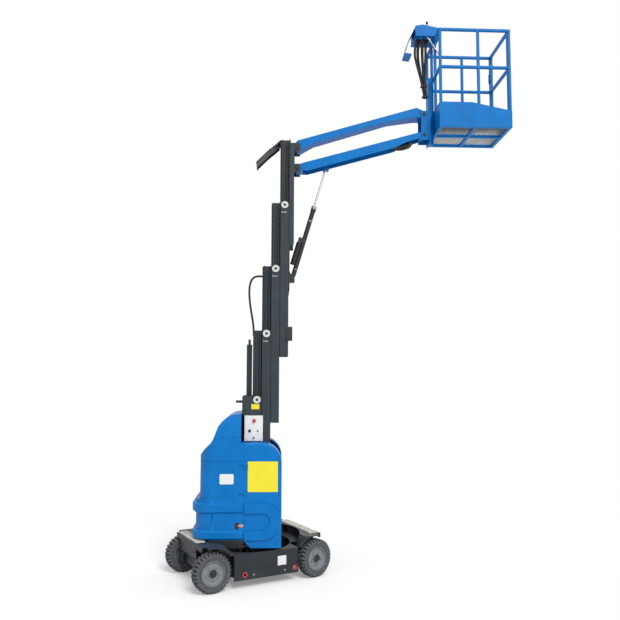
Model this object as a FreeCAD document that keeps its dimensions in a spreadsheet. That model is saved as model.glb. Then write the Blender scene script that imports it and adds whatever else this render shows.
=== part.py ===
# Vertical mast lift: a steered chassis on four wheels, a slewing turret under a moulded hood,
# a five-section telescopic mast, a parallelogram jib and a work platform with guard rails.
# Millimetres and degrees. +Z is up, the origin is on the floor under the slewing axis,
# +X is the way the jib reaches. The chassis is turned under the turret, as parked.
import FreeCAD, Part
import math
import os
import re

import Sketcher

from FreeCAD import Placement, Rotation, Vector

doc = FreeCAD.newDocument("MastLift")
sheet = doc.addObject("Spreadsheet::Sheet", "size")

# name, value, what it measures
SIZES = [
    ("chassis_turn", 26.5, "turn of the chassis under the turret"),
    ("steer_rest", 10, "turn of the front wheels as parked"),
    ("rear_axle_x", 605, "slewing axis to the rear axle"),
    ("kingpin_x", 585, "slewing axis to the kingpins"),
    ("kingpin_y", 355, "middle of the chassis to a kingpin"),
    ("wheel_y", 435, "middle of the chassis to a wheel's middle"),
    ("tyre_radius", 203, "tyre"),
    ("tyre_width", 127, "tyre"),
    ("tyre_shoulder", 13, "chamfer beside the tread"),
    ("tyre_seat", 0.3, "gap between tyre and rim"),
    ("rim_radius", 125, "rim"),
    ("rim_wall", 8, "rim barrel and disc"),
    ("rim_half", 58, "half the width of the rim"),
    ("disc_offset", 20, "wheel's middle to the inner face of its disc"),
    ("hub_radius", 45, "hub boss"),
    ("cap_radius", 40, "hub cap"),
    ("cap_reach", 55, "wheel's middle to the face of the hub cap"),
    ("spindle_radius", 24, "wheel spindle"),
    ("bearing_gap", 0.08, "radial clearance of every turning fit"),
    ("spindle_reach", 45, "wheel's middle to the end of its spindle"),
    ("axle_half", 58, "half the height of the front axle beam"),
    ("axle_depth", 80, "front to back of an axle beam"),
    ("axle_end", 322, "half the length of the front axle beam"),
    ("ear_wall", 13, "thickness of a kingpin ear"),
    ("ear_radius", 26, "kingpin ear"),
    ("kingpin_radius", 12, "kingpin"),
    ("sleeve_radius", 22, "knuckle sleeve"),
    ("seat_gap", 0.3, "gap at a resting seat"),
    ("rear_beam_half", 300, "half the length of the rear axle beam"),
    ("rear_beam_height", 110, "rear axle beam"),
    ("motor_radius", 85, "wheel motor"),
    ("motor_inner", 230, "middle to the inner end of a wheel motor"),
    ("motor_outer", 355, "middle to the outer end of a wheel motor"),
    ("skirt_half", 485, "half the width over the side skirts"),
    ("skirt_wall", 10, "side skirt"),
    ("skirt_reach", 372, "half the length of a side skirt"),
    ("ledge_out", 8, "how far the strip along a skirt's foot stands out"),
    ("ledge_top", 186, "floor to the top of that strip"),
    ("pan_bottom", 93, "floor to the underside of the pan"),
    ("pan_wall", 12, "pan plate"),
    ("pan_reach", 330, "half the length of the pan beside the well"),
    ("deck_top", 350, "floor to the deck"),
    ("deck_wall", 8, "deck plate"),
    ("deck_reach", 575, "slewing axis to the end of the deck"),
    ("centre_half", 235, "half the width of the body between the wheels"),
    ("well_radius", 462, "round well that the turret turns in"),
    ("well_wall", 8, "wall of the well"),
    ("rail_start", 455, "slewing axis to the start of a frame rail"),
    ("rail_end", 685, "slewing axis to the end of a frame rail"),
    ("rail_inner", 90, "middle to the inner face of a frame rail"),
    ("rail_wall", 20, "frame rail"),
    ("rail_bottom", 269.3, "floor to the underside of a frame rail"),
    ("cover_top", 450, "floor to the top of an end cover"),
    ("cover_wall", 8, "plate of an end cover"),
    ("cover_end", 700, "slewing axis to the end of the chassis"),
    ("cover_side_end", 645, "slewing axis to the end of a cover beside the wheels"),
    ("cover_step", 400, "middle to the step in a cover's end"),
    ("cover_lip", 50, "height of the lip over the wheels"),
    ("cover_skirt", 150, "height of the lip between the wheels"),
    ("arch_x", 605, "slewing axis to the middle of a wheel arch"),
    ("arch_radius", 240, "edge of a wheel arch"),
    ("fender_radius", 275, "outside of a fender"),
    ("sweep_radius", 572, "circle the turret sweeps over the deck"),
    ("eye_x", 255, "middle to a rear lashing eye"),
    ("eye_front_x", 330, "middle to a front lashing eye"),
    ("eye_z", 146, "floor to a lashing eye"),
    ("eye_radius", 14, "lashing eye"),
    ("pad_inner", 580, "slewing axis to the inner edge of a step pad"),
    ("pad_outer", 685, "slewing axis to the outer edge of a step pad"),
    ("pad_wall", 6, "step pad"),
    ("pad_left", 380, "middle to the left end of a step pad"),
    ("pad_right_rear", 180, "middle to the right end of the rear pad"),
    ("pad_right_front", 360, "middle to the right end of the front pad"),
    ("ring_outer", 340, "slewing ring"),
    ("ring_split", 300, "bore of the fixed ring"),
    ("ring_inner", 250, "slewing ring"),
    ("ring_top", 160, "floor to the top of the fixed ring"),
    ("ballast_inner", 345, "ballast ring"),
    ("ballast_outer", 450, "ballast ring"),
    ("base_bottom", 175, "floor to the underside of the turret base"),
    ("base_top", 200, "floor to the top of the turret base"),
    ("base_radius", 450, "turret base plate"),
    ("foot_top", 212, "floor to the foot of the mast"),
    ("shelf_z", 385, "floor to the underside of a battery shelf"),
    ("shelf_wall", 12, "battery shelf"),
    ("battery_front", 325, "slewing axis to the front of the batteries"),
    ("battery_back", -20, "slewing axis to the back of the batteries"),
    ("battery_inner", 240, "middle to the inner face of the batteries"),
    ("battery_outer", 385, "middle to the outer face of the batteries"),
    ("battery_top", 900, "floor to the top of the batteries"),
    ("weight_back", -470, "back of the counterweight"),
    ("weight_mid", -360, "back of its wide part"),
    ("weight_front", -120, "front of the counterweight"),
    ("weight_half", 335, "half the width of its wide part"),
    ("weight_tail", 230, "half the width of its back part"),
    ("weight_bottom", 372, "floor to its upper part"),
    ("weight_top", 850, "floor to its top"),
    ("weight_foot", -300, "back of its lower part"),
    ("hood_half", 405, "half the width over the hood"),
    ("hood_front", -35, "slewing axis to the front of the hood"),
    ("hood_back", -520, "slewing axis to the back of the hood"),
    ("hood_skirt_back", -565, "slewing axis to the back of the wide lower hood"),
    ("hood_skirt_top", 880, "floor to the top of the wide lower hood"),
    ("hood_corner", 160, "plan radius of the hood's back corners"),
    ("hood_wall", 6, "moulded hood and door"),
    ("hood_bottom", 378, "floor to the underside of the hood"),
    ("hood_base_radius", 560, "hood below the ribs, from the slewing axis"),
    ("hood_seam", 1285, "floor to the seam between lower and upper hood"),
    ("hood_joint", 2, "gap at the seam"),
    ("hood_crown", 1791, "floor to the top of the hood"),
    ("hood_crown_front", -79, "front of the upper hood"),
    ("hood_crown_half", 350, "half the width at the crown"),
    ("rib_high_bottom", 737, "upper rib, bottom"),
    ("rib_high_top", 850, "upper rib, top"),
    ("rib_low_bottom", 462, "lower rib, bottom"),
    ("rib_low_top", 564, "lower rib, top"),
    ("rib_side", 18, "how far a rib stands out of the side"),
    ("rib_back", 38, "how far a rib stands out of the back"),
    ("rib_slope", 20, "slope along the edges of the hood's ribs"),
    ("door_round", 25, "edge radius of a door's face"),
    ("door_cut", 74, "height of the cut corner under the hinges"),
    ("sill_top", 458, "floor to the underside of the left door"),
    ("rib_end_gap", 20, "room for the hinge line between the ends of the ribs"),
    ("rib_turn_x", 161, "slewing axis to the middle of the rib's turn"),
    ("door_gap", 0.5, "gap between hood and door"),
    ("door_front", 365, "slewing axis to the front of a door"),
    ("door_inner", 228, "middle to the open side of a door"),
    ("door_top", 1480, "floor to the top of a door"),
    ("door_corner", 215, "radius at the top front of a door"),
    ("hinge_out", 8, "door face to its hinge line"),
    ("hinge_radius", 7, "hinge barrel"),
    ("hinge_height", 50, "hinge barrel"),
    ("hinge_leaf", 40, "hinge leaf"),
    ("hinge_low", 949, "floor to the lower hinge"),
    ("hinge_high", 1222, "floor to the upper hinge"),
    ("mast_x", -65, "slewing axis to the back of the first mast section"),
    ("mast_step", 98.5, "one section's back to the next one's"),
    ("mast_rise", 736.5, "one section's top to the next one's"),
    ("mast_depth", 199, "front to back of a section"),
    ("mast_half", 210, "half the width of a section"),
    ("mast_wall", 6, "plate of a section"),
    ("mast_clear", 5, "running gap between sections"),
    ("mast_web", 140, "middle to the outer face of a web"),
    ("mast_rail", 196, "middle to the tip of a rail"),
    ("mast_lip", 165, "middle to the tip of a front lip"),
    ("mast_spine", 125, "half the width of the spine channel"),
    ("mast_top", 1974, "floor to the top of the first section"),
    ("mast_length", 1766, "length of a moving section"),
    ("roller_drop", 38, "section's top to its roller's middle"),
    ("roller_width", 44, "roller"),
    ("pin_radius", 14, "roller axles and jib pins"),
    ("boss_radius", 41, "axle boss"),
    ("boss_wall", 8, "axle boss"),
    ("head_bottom", 1765, "floor to the underside of the mast head"),
    ("head_wall", 12, "plate of the mast head"),
    ("head_stub", 75, "lowering handle on the mast head"),
    ("panel_bottom", 1490, "floor to the ground control box"),
    ("panel_back", -45, "slewing axis to the back of the control box"),
    ("panel_front", 155, "slewing axis to the front of the control box"),
    ("panel_deep", 80, "control box"),
    ("tower_half", 30, "half the width of the hose guard"),
    ("tower_deep", 60, "hose guard, front to back"),
    ("tower_bottom", 1300, "floor to the foot of the hose guard"),
    ("tower_top", 2554, "floor to the top of the hose guard"),
    ("hose_radius", 12, "mast hose"),
    ("hose_y", 70, "middle to the mast hose"),
    ("flap_half", 140, "half the width of the top flap"),
    ("flap_wall", 5, "top flap"),
    ("flap_lip", 25, "depth of the flap's side lips"),
    ("jib_pin_x", 525, "slewing axis to the jib's root pins"),
    ("jib_pin_low", 4613, "floor to the lower root pin"),
    ("jib_pin_gap", 250, "lower pins to upper pins"),
    ("jib_length", 1560, "pin to pin"),
    ("jib_angle", 15.9, "rise of the jib as parked"),
    ("arm_half", 90, "half the width of a jib arm"),
    ("arm_wall", 5, "plate of a jib arm"),
    ("knuckle_radius", 26, "tube round a jib pin"),
    ("cheek_gap", 2, "arm to the cheek beside it"),
    ("cheek_wall", 12, "cheek of a jib bracket"),
    ("ear_reach", 45, "half height of a cheek's ear round its pin"),
    ("rod_eye_along", 331, "lower root pin to the cylinder's upper pin, along the arm"),
    ("rod_eye_below", 77, "how far that pin lies under the pins' line"),
    ("lug_inner", 30, "middle to a cylinder lug"),
    ("lug_wall", 8, "cylinder lug"),
    ("cylinder_x", 478, "slewing axis to the cylinder's lower pin"),
    ("cylinder_z", 3328, "floor to the cylinder's lower pin"),
    ("barrel_radius", 27, "cylinder barrel"),
    ("barrel_length", 887, "lower pin to the barrel's mouth"),
    ("barrel_eye", 23, "eye at the barrel's foot"),
    ("piston_rod", 13, "radius of the cylinder rod"),
    ("rod_length", 720, "cylinder rod"),
    ("rod_eye", 24, "eye of the cylinder rod"),
    ("pack_radius", 32, "pump pack beside the barrel"),
    ("pack_start", 155, "lower pin to the foot of the pump pack"),
    ("pack_end", 425, "lower pin to the top of the pump pack"),
    ("post_back", 65, "tip pins to the back of the platform post"),
    ("post_half", 45, "half the width of the platform post"),
    ("post_foot", 100, "lower tip pin down to the foot of the platform post"),
    ("post_top", 720, "lower tip pin to the top of the platform post"),
    ("yoke_back", 35, "tip pins back to the edge of the yoke's cheeks"),
    ("yoke_edge", 40, "upper tip pin to the top of the yoke's cheeks"),
    ("deck_x", 125, "tip pins to the platform's near end"),
    ("deck_end", 967, "tip pins to the platform's far end"),
    ("deck_half", 366, "half the width of the platform"),
    ("deck_z", 5, "lower tip pin to the underside of the platform"),
    ("beam", 40, "floor frame tube"),
    ("grid_wall", 4, "floor grid"),
    ("rail", 34, "guard rail tube"),
    ("rail_top", 1138, "floor grid to the top of the guard rail"),
    ("rail_mid", 690, "floor grid to the top of the middle rail"),
    ("post_mid", 585, "tip pins to the middle posts"),
    ("toe_wall", 4, "toe board"),
    ("toe_top", 251, "floor grid to the top of the toe board"),
    ("toe_low", 157, "floor grid to its top at the far end"),
    ("toe_bend", 505, "tip pins to the bend in the toe board"),
    ("gate_gap", 6, "gap round the gate"),
    ("gate_hinge", 8, "radius of the gate's hinge barrels"),
    ("gate_low", 21, "floor grid to the underside of the gate"),
    ("console_back", 100, "tip pins back to the edge of the console"),
    ("console_deep", 300, "console, front to back"),
    ("console_half", 150, "half the width of the console"),
    ("console_tall", 140, "console"),
    ("console_gap", 5, "top rail to the underside of the console"),
    ("shield_back", 225, "tip pins back to the edge of the console's shield"),
    ("shield_drop", 350, "console's top to the foot of its shield"),
    ("shield_wall", 6, "console's shield"),
]
# places inside a mast section, measured from its back
CHANNEL = "(mast_depth - mast_step + mast_clear)"
RAIL_BACK = "(mast_depth - 2 * mast_step + mast_wall + 2 * mast_clear)"
RAIL_FRONT = "(mast_depth - mast_wall - mast_clear - mast_step)"
ROLLER_X = "(mast_step + (%s + %s) / 2)" % (RAIL_BACK, RAIL_FRONT)
FRONT_PLATE = "(mast_x + 4 * mast_step + %s + mast_wall)" % CHANNEL
NAMES = {name for name, value, note in SIZES}
WORD = re.compile(r"[a-z][a-z_]*")


def fill_sheet():
    for row, (name, value, note) in enumerate(SIZES, start=1):
        sheet.set("A%d" % row, name)
        sheet.set("B%d" % row, str(value))
        sheet.setAlias("B%d" % row, name)
        sheet.set("C%d" % row, note)
    doc.recompute()


def val(name):
    return float(sheet.get(name))


def link(text):
    """Point each size's name in a formula at its cell."""
    return WORD.sub(lambda found: "size." + found.group() if found.group() in NAMES else found.group(), str(text))


def bind(thing, prop, text):
    thing.setExpression(prop, link(text))


def box(name, xs, ys, zs):
    """A rectangular block between two ends on each axis."""
    made = doc.addObject("Part::Box", name)
    for side, axis, (low, high) in zip(("Length", "Width", "Height"), "xyz", (xs, ys, zs)):
        bind(made, side, "(%s) - (%s)" % (high, low))
        bind(made, "Placement.Base." + axis, low)
    return made


def both(name, xs, ys, zs):
    """The same block on both sides of the middle plane."""
    low, high = ys
    return [box(name + "_left", xs, ys, zs), box(name + "_right", xs, ("-(%s)" % high, "-(%s)" % low), zs)]


AXES = {"x": Rotation(Vector(0, 1, 0), 90), "y": Rotation(Vector(1, 0, 0), -90), "z": Rotation()}


def rod(name, radius, length, start, along="z"):
    made = doc.addObject("Part::Cylinder", name)
    made.Placement = Placement(Vector(), AXES[along])
    bind(made, "Radius", radius)
    bind(made, "Height", length)
    for axis, text in zip("xyz", start):
        bind(made, "Placement.Base." + axis, text)
    return made


def fuse(name, pieces):
    made = doc.addObject("Part::MultiFuse", name)
    made.Shapes = pieces
    made.Refine = True
    return made


def cut(name, base, tools):
    made = doc.addObject("Part::Cut", name)
    made.Refine = True
    made.Base = base
    made.Tool = tools[0] if len(tools) == 1 else fuse(name + "_tools", tools)
    return made


def common(name, pieces):
    made = doc.addObject("Part::MultiCommon", name)
    made.Shapes = pieces
    return made


def tube(name, outer, inner, length, start, along="z"):
    return cut(name, rod(name + "_outer", outer, length, start, along), [rod(name + "_inner", inner, length, start, along)])


def outline(body, plane, points, offset):
    """A closed sketch whose corners are bound to formulas, on one of the body's own planes."""
    sketch = body.newObject("Sketcher::SketchObject", body.Name + "_outline")
    support = [item for item in body.Origin.OriginFeatures if item.Role == plane][0]
    sketch.AttachmentSupport = [(support, "")]
    sketch.MapMode = "FlatFace"
    bind(sketch, "AttachmentOffset.Base.z", offset)
    count = len(points)
    starts = [Vector(math.cos(math.tau * i / count), math.sin(math.tau * i / count), 0) for i in range(count)]
    for i in range(count):
        sketch.addGeometry(Part.LineSegment(starts[i], starts[(i + 1) % count]), False)
    rules = [Sketcher.Constraint("Coincident", i, 2, (i + 1) % count, 1) for i in range(count)]
    for i, start in enumerate(starts):
        rules.append(Sketcher.Constraint("DistanceX", -1, 1, i, 1, start.x))
        rules.append(Sketcher.Constraint("DistanceY", -1, 1, i, 1, start.y))
    sketch.addConstraint(rules)
    for i, (across, up) in enumerate(points):
        bind(sketch, "Constraints[%d]" % (count + 2 * i), across)
        bind(sketch, "Constraints[%d]" % (count + 2 * i + 1), up)
    return sketch


def prism(name, plane, points, low, high):
    """An outline pushed from low to high: across Y on the XZ plane, up Z on the XY plane."""
    body = doc.addObject("PartDesign::Body", name)
    offset = "-(%s)" % high if plane == "XZ_Plane" else low
    pad = body.newObject("PartDesign::Pad", name + "_pad")
    pad.Profile = outline(body, plane, points, offset)
    bind(pad, "Length", "(%s) - (%s)" % (high, low))
    return body


def side_prism(name, points, half):
    return prism(name, "XZ_Plane", points, "-(%s)" % half, half)


def lathe(name, points):
    """An outline of radius and height, turned about Z."""
    body = doc.addObject("PartDesign::Body", name)
    turn = body.newObject("PartDesign::Revolution", name + "_turn")
    sketch = outline(body, "XZ_Plane", points, "0")
    turn.Profile = sketch
    turn.ReferenceAxis = (sketch, ["V_Axis"])
    turn.Angle = 360
    return body


def flat_at(edge, axis, place):
    """True where the whole edge lies on that plane."""
    reach = edge.BoundBox
    low, high = getattr(reach, axis.upper() + "Min"), getattr(reach, axis.upper() + "Max")
    return abs(low - place) < 0.01 and abs(high - place) < 0.01


def rounded(name, base, radius, picks, kind="Fillet"):
    """The same solid with the edges that a test picks rounded, or cut to a slope where kind is Chamfer."""
    doc.recompute()
    made = doc.addObject("Part::" + kind, name)
    made.Base = base
    made.Edges = [(number, radius, radius) for number, edge in enumerate(base.Shape.Edges, start=1) if picks(edge)]
    return made


KEPT = []


def keep(label, made, placement=None):
    made.Label = label
    if placement is not None:
        made.Placement = placement
    KEPT.append(made)
    return made


fill_sheet()
CHASSIS = Placement(Vector(), Rotation(Vector(0, 0, 1), val("chassis_turn")))
ENDS = (("rear", -1), ("front", 1))
SIDES = (("left", 1), ("right", -1))


def ends(xs, sign):
    """An interval measured from the slewing axis, at the front or the rear end."""
    low, high = xs
    return (low, high) if sign > 0 else ("-(%s)" % high, "-(%s)" % low)


def make_chassis_frame():
    well = "well_radius + well_wall"
    side = "skirt_half - skirt_wall"
    pieces = [
        rod("pan_disc", well, "pan_wall", ("0", "0", "pan_bottom")),
        box("pan_plate", ("-pan_reach", "pan_reach"), ("skirt_wall - skirt_half", side), ("pan_bottom", "pan_bottom + pan_wall")),
        rod("well_shell", well, "deck_top - pan_bottom", ("0", "0", "pan_bottom")),
        box("deck_sides", ("-skirt_reach", "skirt_reach"), ("skirt_wall - skirt_half", side), ("deck_top - deck_wall", "deck_top")),
        box("deck_middle", ("-deck_reach", "deck_reach"), ("-centre_half", "centre_half"), ("deck_top - deck_wall", "deck_top")),
    ]
    hollow = rod("well_hollow", "well_radius", "deck_top", ("0", "0", "pan_bottom + pan_wall"))
    keep("chassis_frame", cut("frame", fuse("frame_body", pieces), [hollow]), CHASSIS)
    rails = []
    for end, sign in ENDS:
        rails += both("rail_" + end, ends(("rail_start", "rail_end"), sign), ("rail_inner", "rail_inner + rail_wall"),
                      ("rail_bottom", "deck_top - deck_wall"))
    keep("frame_rails", cut("rails", fuse("rail_set", rails), [rod("rail_limit", well, "deck_top", ("0", "0", "pan_bottom"))]), CHASSIS)
    skirts = both("skirt", ("-skirt_reach", "skirt_reach"), (side, "skirt_half"), ("pan_bottom", "deck_top"))
    skirts += both("skirt_ledge", ("-skirt_reach", "skirt_reach"), ("skirt_half", "skirt_half + ledge_out"), ("pan_bottom", "ledge_top"))
    reach = "(skirt_half + ledge_out + 1)"
    eyes = [rod("lashing_eyes_" + end, "eye_radius", "2 * " + reach, (x, "-" + reach, "eye_z"), "y")
            for end, x in (("rear", "-eye_x"), ("front", "eye_front_x"))]
    keep("side_skirts", cut("skirts", fuse("skirt_set", skirts), eyes), CHASSIS)


def make_end_cover(end, sign):
    name = "cover_" + end
    middle = "arch_x" if sign > 0 else "-arch_x"
    top = ("cover_top - cover_wall", "cover_top")
    arches = []
    for side, facing in SIDES:
        outer = "skirt_half - skirt_wall" if facing > 0 else "-skirt_half"
        wide = "centre_half" if facing > 0 else "-skirt_half"
        inner = "centre_half" if facing > 0 else "-centre_half - cover_wall"
        band = tube("%s_band_%s" % (name, side), "fender_radius", "arch_radius", "skirt_wall", (middle, outer, "tyre_radius"), "y")
        roof = tube("%s_roof_%s" % (name, side), "fender_radius", "fender_radius - cover_wall", "skirt_half - centre_half",
                    (middle, wide, "tyre_radius"), "y")
        wall = rod("%s_wheel_wall_%s" % (name, side), "fender_radius", "cover_wall", (middle, inner, "tyre_radius"), "y")
        arches += [band, roof, wall]
    region = box(name + "_region", ends(("arch_x - fender_radius", "cover_side_end"), sign), ("-skirt_half", "skirt_half"),
                 ("deck_top + seat_gap", "cover_top"))
    arched = common(name + "_arched", [fuse(name + "_arches", arches), region])
    step = ("-cover_step", "cover_step")
    sides = ends(("arch_x - fender_radius / 2", "cover_side_end"), sign)
    pieces = [
        arched,
        box(name + "_plate", ends(("arch_x - fender_radius / 2", "cover_end"), sign), step, top),
        box(name + "_lip", ends(("cover_end - cover_wall", "cover_end"), sign), step, ("cover_top - cover_lip", "cover_top")),
        box(name + "_lip_middle", ends(("cover_end - cover_wall", "cover_end"), sign), ("-centre_half", "centre_half"),
            ("cover_top - cover_skirt", "cover_top")),
        box(name + "_wall", ends(("deck_reach", "deck_reach + cover_wall"), sign), ("-centre_half", "centre_half"),
            ("deck_top + seat_gap", "cover_top")),
    ]
    pieces += both(name + "_side_plate", sides, ("centre_half", "skirt_half"), top)
    pieces += both(name + "_side_lip", ends(("cover_side_end - cover_wall", "cover_side_end"), sign), ("cover_step - cover_wall", "skirt_half"),
                   ("cover_top - cover_lip / 2", "cover_top"))
    sweep = rod(name + "_sweep", "sweep_radius", "cover_top", ("0", "0", "deck_top - deck_wall"))
    keep("end_cover_" + end, cut(name, fuse(name + "_body", pieces), [sweep]), CHASSIS)


def make_step_pads():
    for end, sign, right in (("rear", -1, "pad_right_rear"), ("front", 1, "pad_right_front")):
        pad = box("pad_" + end, ends(("pad_inner", "pad_outer"), sign), ("-" + right, "pad_left"), ("cover_top", "cover_top + pad_wall"))
        keep("step_pad_" + end, fuse("pad_" + end + "_set", [pad, box("pad_" + end + "_nose", ends(("pad_inner + 10", "pad_outer - 10"), sign),
             ("-" + right + " - 10", "pad_left + 10"), ("cover_top", "cover_top + pad_wall / 2"))]), CHASSIS)


def make_slewing_ring():
    height = "ring_top - pan_bottom - pan_wall"
    start = ("0", "0", "pan_bottom + pan_wall")
    keep("slewing_ring_fixed", tube("ring_fixed", "ring_outer", "ring_split", height, start), CHASSIS)
    keep("chassis_ballast", tube("ballast", "ballast_outer", "ballast_inner", height, start), CHASSIS)
    keep("slewing_ring_turning", tube("ring_turning", "ring_split - seat_gap", "ring_inner", "base_bottom - pan_bottom - pan_wall - mast_clear",
         ("0", "0", "pan_bottom + pan_wall + mast_clear")))


def make_rear_axle():
    beam = box("rear_beam", ("-rear_axle_x - axle_depth / 2", "-rear_axle_x + axle_depth / 2"), ("-rear_beam_half", "rear_beam_half"),
               ("rail_bottom - seat_gap - rear_beam_height", "rail_bottom - seat_gap"))
    pieces = [beam]
    for side, facing in SIDES:
        inner = "motor_inner" if facing > 0 else "-motor_outer"
        reach = "wheel_y + spindle_reach"
        spindle = ("-rear_axle_x", "rear_beam_half" if facing > 0 else "-(%s)" % reach, "tyre_radius")
        pieces.append(rod("motor_" + side, "motor_radius", "motor_outer - motor_inner", ("-rear_axle_x", inner, "tyre_radius"), "y"))
        pieces.append(rod("spindle_" + side, "spindle_radius", reach + " - rear_beam_half", spindle, "y"))
    keep("rear_axle", fuse("rear_axle_set", pieces), CHASSIS)


def make_front_axle():
    span = ("kingpin_x - axle_depth / 2", "kingpin_x + axle_depth / 2")
    pieces = [box("front_beam", span, ("-axle_end", "axle_end"), ("tyre_radius - axle_half", "tyre_radius + axle_half"))]
    pieces += both("beam_mount", span, ("rail_inner", "rail_inner + rail_wall"), ("tyre_radius", "rail_bottom"))
    for side, facing in SIDES:
        y = "kingpin_y" if facing > 0 else "-kingpin_y"
        tip = ("axle_end - 10", "kingpin_y") if facing > 0 else ("-kingpin_y", "-axle_end + 10")
        pieces.append(rod("kingpin_" + side, "kingpin_radius", "2 * axle_half", ("kingpin_x", y, "tyre_radius - axle_half"), "z"))
        for place, low in (("low", "tyre_radius - axle_half"), ("high", "tyre_radius + axle_half - ear_wall")):
            pieces.append(rod("ear_%s_%s" % (side, place), "ear_radius", "ear_wall", ("kingpin_x", y, low)))
            pieces.append(box("ear_arm_%s_%s" % (side, place), ("kingpin_x - ear_radius", "kingpin_x + ear_radius"), tip,
                              (low, "(%s) + ear_wall" % low)))
    keep("front_axle", fuse("front_axle_set", pieces), CHASSIS)


def steered(facing):
    """The frame of a knuckle: on its kingpin at wheel height, turned as parked, +Y outwards."""
    turn = val("steer_rest") + (0 if facing > 0 else 180)
    place = Vector(val("kingpin_x"), facing * val("kingpin_y"), val("tyre_radius"))
    return CHASSIS.multiply(Placement(place, Rotation(Vector(0, 0, 1), turn)))


def make_knuckles():
    half = "axle_half - ear_wall - seat_gap"
    for side, facing in SIDES:
        name = "knuckle_" + side
        reach = "wheel_y - kingpin_y + spindle_reach"
        body = fuse(name + "_body", [
            rod(name + "_sleeve", "sleeve_radius", "2 * (%s)" % half, ("0", "0", "-(%s)" % half)),
            rod(name + "_spindle", "spindle_radius", reach, ("0", "0", "0"), "y"),
        ])
        bore = rod(name + "_bore", "kingpin_radius + bearing_gap", "4 * axle_half", ("0", "0", "-2 * axle_half"))
        keep(name, cut(name, body, [bore]), steered(facing))


def wheel_place(side, end, facing):
    """A wheel's own frame: middle of the wheel, +Z outwards along its axle."""
    outward = Rotation(Vector(1, 0, 0), -90)
    if end == "front":
        return steered(facing).multiply(Placement(Vector(0, val("wheel_y") - val("kingpin_y"), 0), outward))
    place = Vector(-val("rear_axle_x"), facing * val("wheel_y"), val("tyre_radius"))
    turn = Rotation(Vector(0, 0, 1), 0 if facing > 0 else 180)
    return CHASSIS.multiply(Placement(place, turn.multiply(outward)))


def make_wheels():
    disc = "disc_offset + rim_wall"
    barrel = "rim_radius - rim_wall"
    bore = "spindle_radius + bearing_gap"
    flat = "tyre_width / 2"
    for end, sign in ENDS:
        for side, facing in SIDES:
            place = wheel_place(side, end, facing)
            name = "%s_%s" % (end, side)
            keep("tyre_" + name, lathe("tyre_" + name, [
                ("rim_radius + tyre_seat", "-rim_half"), ("tyre_radius - tyre_shoulder", "-tyre_width / 2"),
                ("tyre_radius", "tyre_shoulder - tyre_width / 2"), ("tyre_radius", flat + " - tyre_shoulder"),
                ("tyre_radius - tyre_shoulder", flat), ("rim_radius + tyre_seat", "rim_half")]), place)
            keep("rim_" + name, lathe("rim_" + name, [
                (bore, "-hub_radius / 3"), ("hub_radius", "-hub_radius / 3"), ("hub_radius", "disc_offset"), (barrel, "disc_offset"),
                (barrel, "-rim_half"), ("rim_radius", "-rim_half"), ("rim_radius", "rim_half"), (barrel, "rim_half"), (barrel, disc),
                ("hub_radius", disc), ("cap_radius", "cap_reach"), ("0", "cap_reach"), ("0", "spindle_reach + 1"),
                (bore, "spindle_reach + 1")]), place)


def make_turret_base():
    side = ("battery_inner - shelf_wall", "battery_inner")
    pieces = [
        rod("base_disc", "base_radius", "base_top - base_bottom", ("0", "0", "base_bottom")),
        box("mast_foot", ("mast_x - 10", "mast_x + mast_depth + 10"), ("-mast_half", "mast_half"), ("base_top", "foot_top")),
    ]
    pieces += both("shelf", ("hood_front + seat_gap", "battery_front + 10"), ("battery_inner - shelf_wall", "battery_outer - 2"),
                   ("shelf_z", "shelf_z + shelf_wall"))
    pieces += both("shelf_web", ("battery_back", "battery_front - 25"), side, ("base_top", "shelf_z + shelf_wall"))
    keep("turret_base", fuse("turret_base_set", pieces))


def make_heavy_blocks():
    keep("counterweight", fuse("counterweight_set", [
        box("weight_low", ("weight_foot", "weight_front"), ("-weight_half + 40", "weight_half - 40"), ("base_top", "weight_bottom")),
        box("weight_wide", ("weight_mid", "weight_front"), ("-weight_half", "weight_half"), ("weight_bottom", "weight_top")),
        box("weight_back_part", ("weight_back", "weight_mid"), ("-weight_tail", "weight_tail"), ("weight_bottom", "weight_top")),
    ]))
    for side, facing in SIDES:
        ys = ("battery_inner", "battery_outer") if facing > 0 else ("-battery_outer", "-battery_inner")
        case = box("battery_case_" + side, ("battery_back", "battery_front"), ys, ("shelf_z + shelf_wall", "battery_top"))
        lid = box("battery_lid_" + side, ("battery_back + 15", "battery_front - 15"), ys, ("battery_top", "battery_top + 25"))
        keep("battery_pack_" + side, fuse("battery_" + side, [case, lid]))


def plan_block(name, back, half, corner, front, low, high):
    """A block with both back corners rounded in plan."""
    return fuse(name, [
        box(name + "_mid", ("(%s) + (%s)" % (back, corner), front), ("-(%s)" % half, half), (low, high)),
        box(name + "_tail", (back, front), ("(%s) - (%s)" % (corner, half), "(%s) - (%s)" % (half, corner)), (low, high)),
        rod(name + "_corner_left", corner, "(%s) - (%s)" % (high, low), ("(%s) + (%s)" % (back, corner), "(%s) - (%s)" % (half, corner), low)),
        rod(name + "_corner_right", corner, "(%s) - (%s)" % (high, low), ("(%s) + (%s)" % (back, corner), "(%s) - (%s)" % (corner, half), low)),
    ])


def slope_rims(name, base, depth):
    """A plan block with its upper and lower rims sloped, except across its front."""
    doc.recompute()
    reach = base.Shape.BoundBox
    return rounded(name, base, depth, lambda edge: (flat_at(edge, "z", reach.ZMin) or flat_at(edge, "z", reach.ZMax))
                   and not flat_at(edge, "x", reach.XMax), "Chamfer")


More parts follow.
